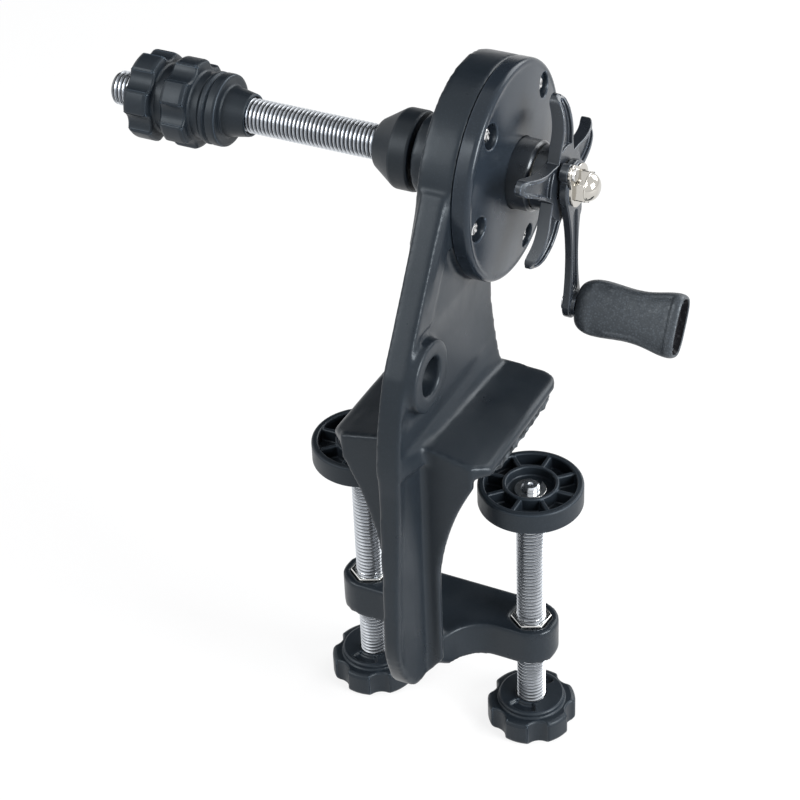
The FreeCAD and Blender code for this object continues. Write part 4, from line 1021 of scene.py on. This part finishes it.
def card_finish():
    """Dull black felt."""
    finish = Finish("card_black", 0.9, 0.0, 0.0)
    finish.set("Base Color", finish.mix(finish.noise(0.2), (0.01, 0.011, 0.013), (0.02, 0.022, 0.025)))
    return finish.material


def stage_sheet(name, half_size, place, material):
    """A flat sheet of the stage."""
    shape = bmesh.new()
    bmesh.ops.create_grid(shape, x_segments=1, y_segments=1, size=half_size)
    bmesh.ops.transform(shape, matrix=place, verts=shape.verts)
    mesh = bpy.data.meshes.new(name)
    shape.to_mesh(mesh)
    shape.free()
    mesh.materials.append(material)
    sheet = bpy.data.objects.new(name, mesh)
    bpy.context.scene.collection.objects.link(sheet)
    return sheet


def hang_card():
    """A black card behind and above, which only reflections see, so that top faces stay dark."""
    towards = Vector((-0.37, 0.72, 0.59))
    facing = (-towards).to_track_quat("Z", "Y").to_matrix().to_4x4()
    card = stage_sheet("stage_card", 0.62, Matrix.Translation(towards * 1.25) @ facing, card_finish())
    card.visible_camera = False
    card.visible_diffuse = False
    card.visible_shadow = False


def soft_sky():
    """Even light from all round, in front of a white background."""
    world = bpy.data.worlds.new("soft_sky")
    bpy.context.scene.world = world
    world.use_nodes = True
    tree = world.node_tree
    sky = tree.nodes["Background"]
    sky.inputs["Color"].default_value = WHITE
    sky.inputs["Strength"].default_value = bpy.context.scene.winder_stage.sky
    white = tree.nodes.new("ShaderNodeBackground")
    white.inputs["Color"].default_value = WHITE
    white.inputs["Strength"].default_value = 1.0
    both = tree.nodes.new("ShaderNodeMixShader")
    tree.links.new(seen_rays(tree), both.inputs[0])
    tree.links.new(sky.outputs[0], both.inputs[1])
    tree.links.new(white.outputs[0], both.inputs[2])
    tree.links.new(both.outputs[0], tree.nodes["World Output"].inputs["Surface"])


def set_up_camera():
    """A camera with the photograph's place, direction and lens."""
    eye = Vector((272.55, -557.18, 465.34)) * MM
    forward = Vector((-0.37113, 0.71597, -0.59131))
    right = Vector((0.89916, 0.43610, -0.03630))
    turn = Matrix((right, right.cross(forward), -forward)).transposed().to_4x4()
    lens = bpy.data.cameras.new("photo_camera")
    lens.lens = 104.85
    lens.sensor_width = 36.0
    lens.clip_start = 0.02
    camera = bpy.data.objects.new("photo_camera", lens)
    camera.matrix_world = Matrix.Translation(eye) @ turn
    bpy.context.scene.collection.objects.link(camera)
    bpy.context.scene.camera = camera
    bpy.context.scene.view_settings.view_transform = "Standard"


class Stage(bpy.types.Operator):
    """Lay the floor, hang the card and the lamps and set up the camera"""

    bl_idname = "winder.stage"
    bl_label = "Stage"

    def execute(self, context):
        stage = context.scene.winder_stage
        stage_sheet("stage_floor", 8.0, Matrix.Translation((0, 0, cad_low.z)), floor_finish())
        hang_card()
        soft_sky()
        middle = (0, 0, 0)
        aimed_lamp("key_lamp", (-0.75, -0.75, 0.75), middle, 0.7, stage.key)
        aimed_lamp("side_lamp", (1.05, -0.15, 0.45), middle, 0.6, stage.side)
        aimed_lamp("back_lamp", (0.45, 1.0, 0.65), (0, 0, 0.05), 0.8, stage.back)
        set_up_camera()
        return {"FINISHED"}


PIECE_OPERATORS = (
    FrameMouldings, JawRubber, CoverScrews, GearTrain, CrankParts, StarWheel,
    PaddleKnob, Spindle, LockNuts, TableClamps, Stage,
)


class WinderPanel(bpy.types.Panel):
    """Buttons that build the winder piece by piece"""

    bl_idname = "VIEW3D_PT_winder"
    bl_label = "Bench line winder"
    bl_space_type = "VIEW_3D"
    bl_region_type = "UI"
    bl_category = "Winder"

    def draw(self, context):
        for group in ("winder_sizes", "winder_colours", "winder_stage"):
            values = getattr(context.scene, group)
            for name in values.bl_rna.properties.keys():
                if name not in ("rna_type", "name"):
                    self.layout.prop(values, name)
        for operator in PIECE_OPERATORS:
            self.layout.operator(operator.bl_idname)


CLASSES = (WinderSizes, WinderColours, WinderStage, *PIECE_OPERATORS, WinderPanel)


def register():
    for cls in CLASSES:
        bpy.utils.register_class(cls)
    bpy.types.Scene.winder_sizes = PointerProperty(type=WinderSizes)
    bpy.types.Scene.winder_colours = PointerProperty(type=WinderColours)
    bpy.types.Scene.winder_stage = PointerProperty(type=WinderStage)


def unregister():
    del bpy.types.Scene.winder_stage
    del bpy.types.Scene.winder_colours
    del bpy.types.Scene.winder_sizes
    for cls in reversed(CLASSES):
        bpy.utils.unregister_class(cls)


def main():
    register()
    mix_finishes()
    bpy.ops.winder.frame_mouldings()
    bpy.ops.winder.jaw_rubber()
    bpy.ops.winder.cover_screws()
    bpy.ops.winder.gear_train()
    bpy.ops.winder.crank_parts()
    bpy.ops.winder.star_wheel()
    bpy.ops.winder.paddle_knob()
    bpy.ops.winder.spindle()
    bpy.ops.winder.lock_nuts()
    bpy.ops.winder.table_clamps()
    bpy.ops.winder.stage()


if __name__ == "__main__":
    main()
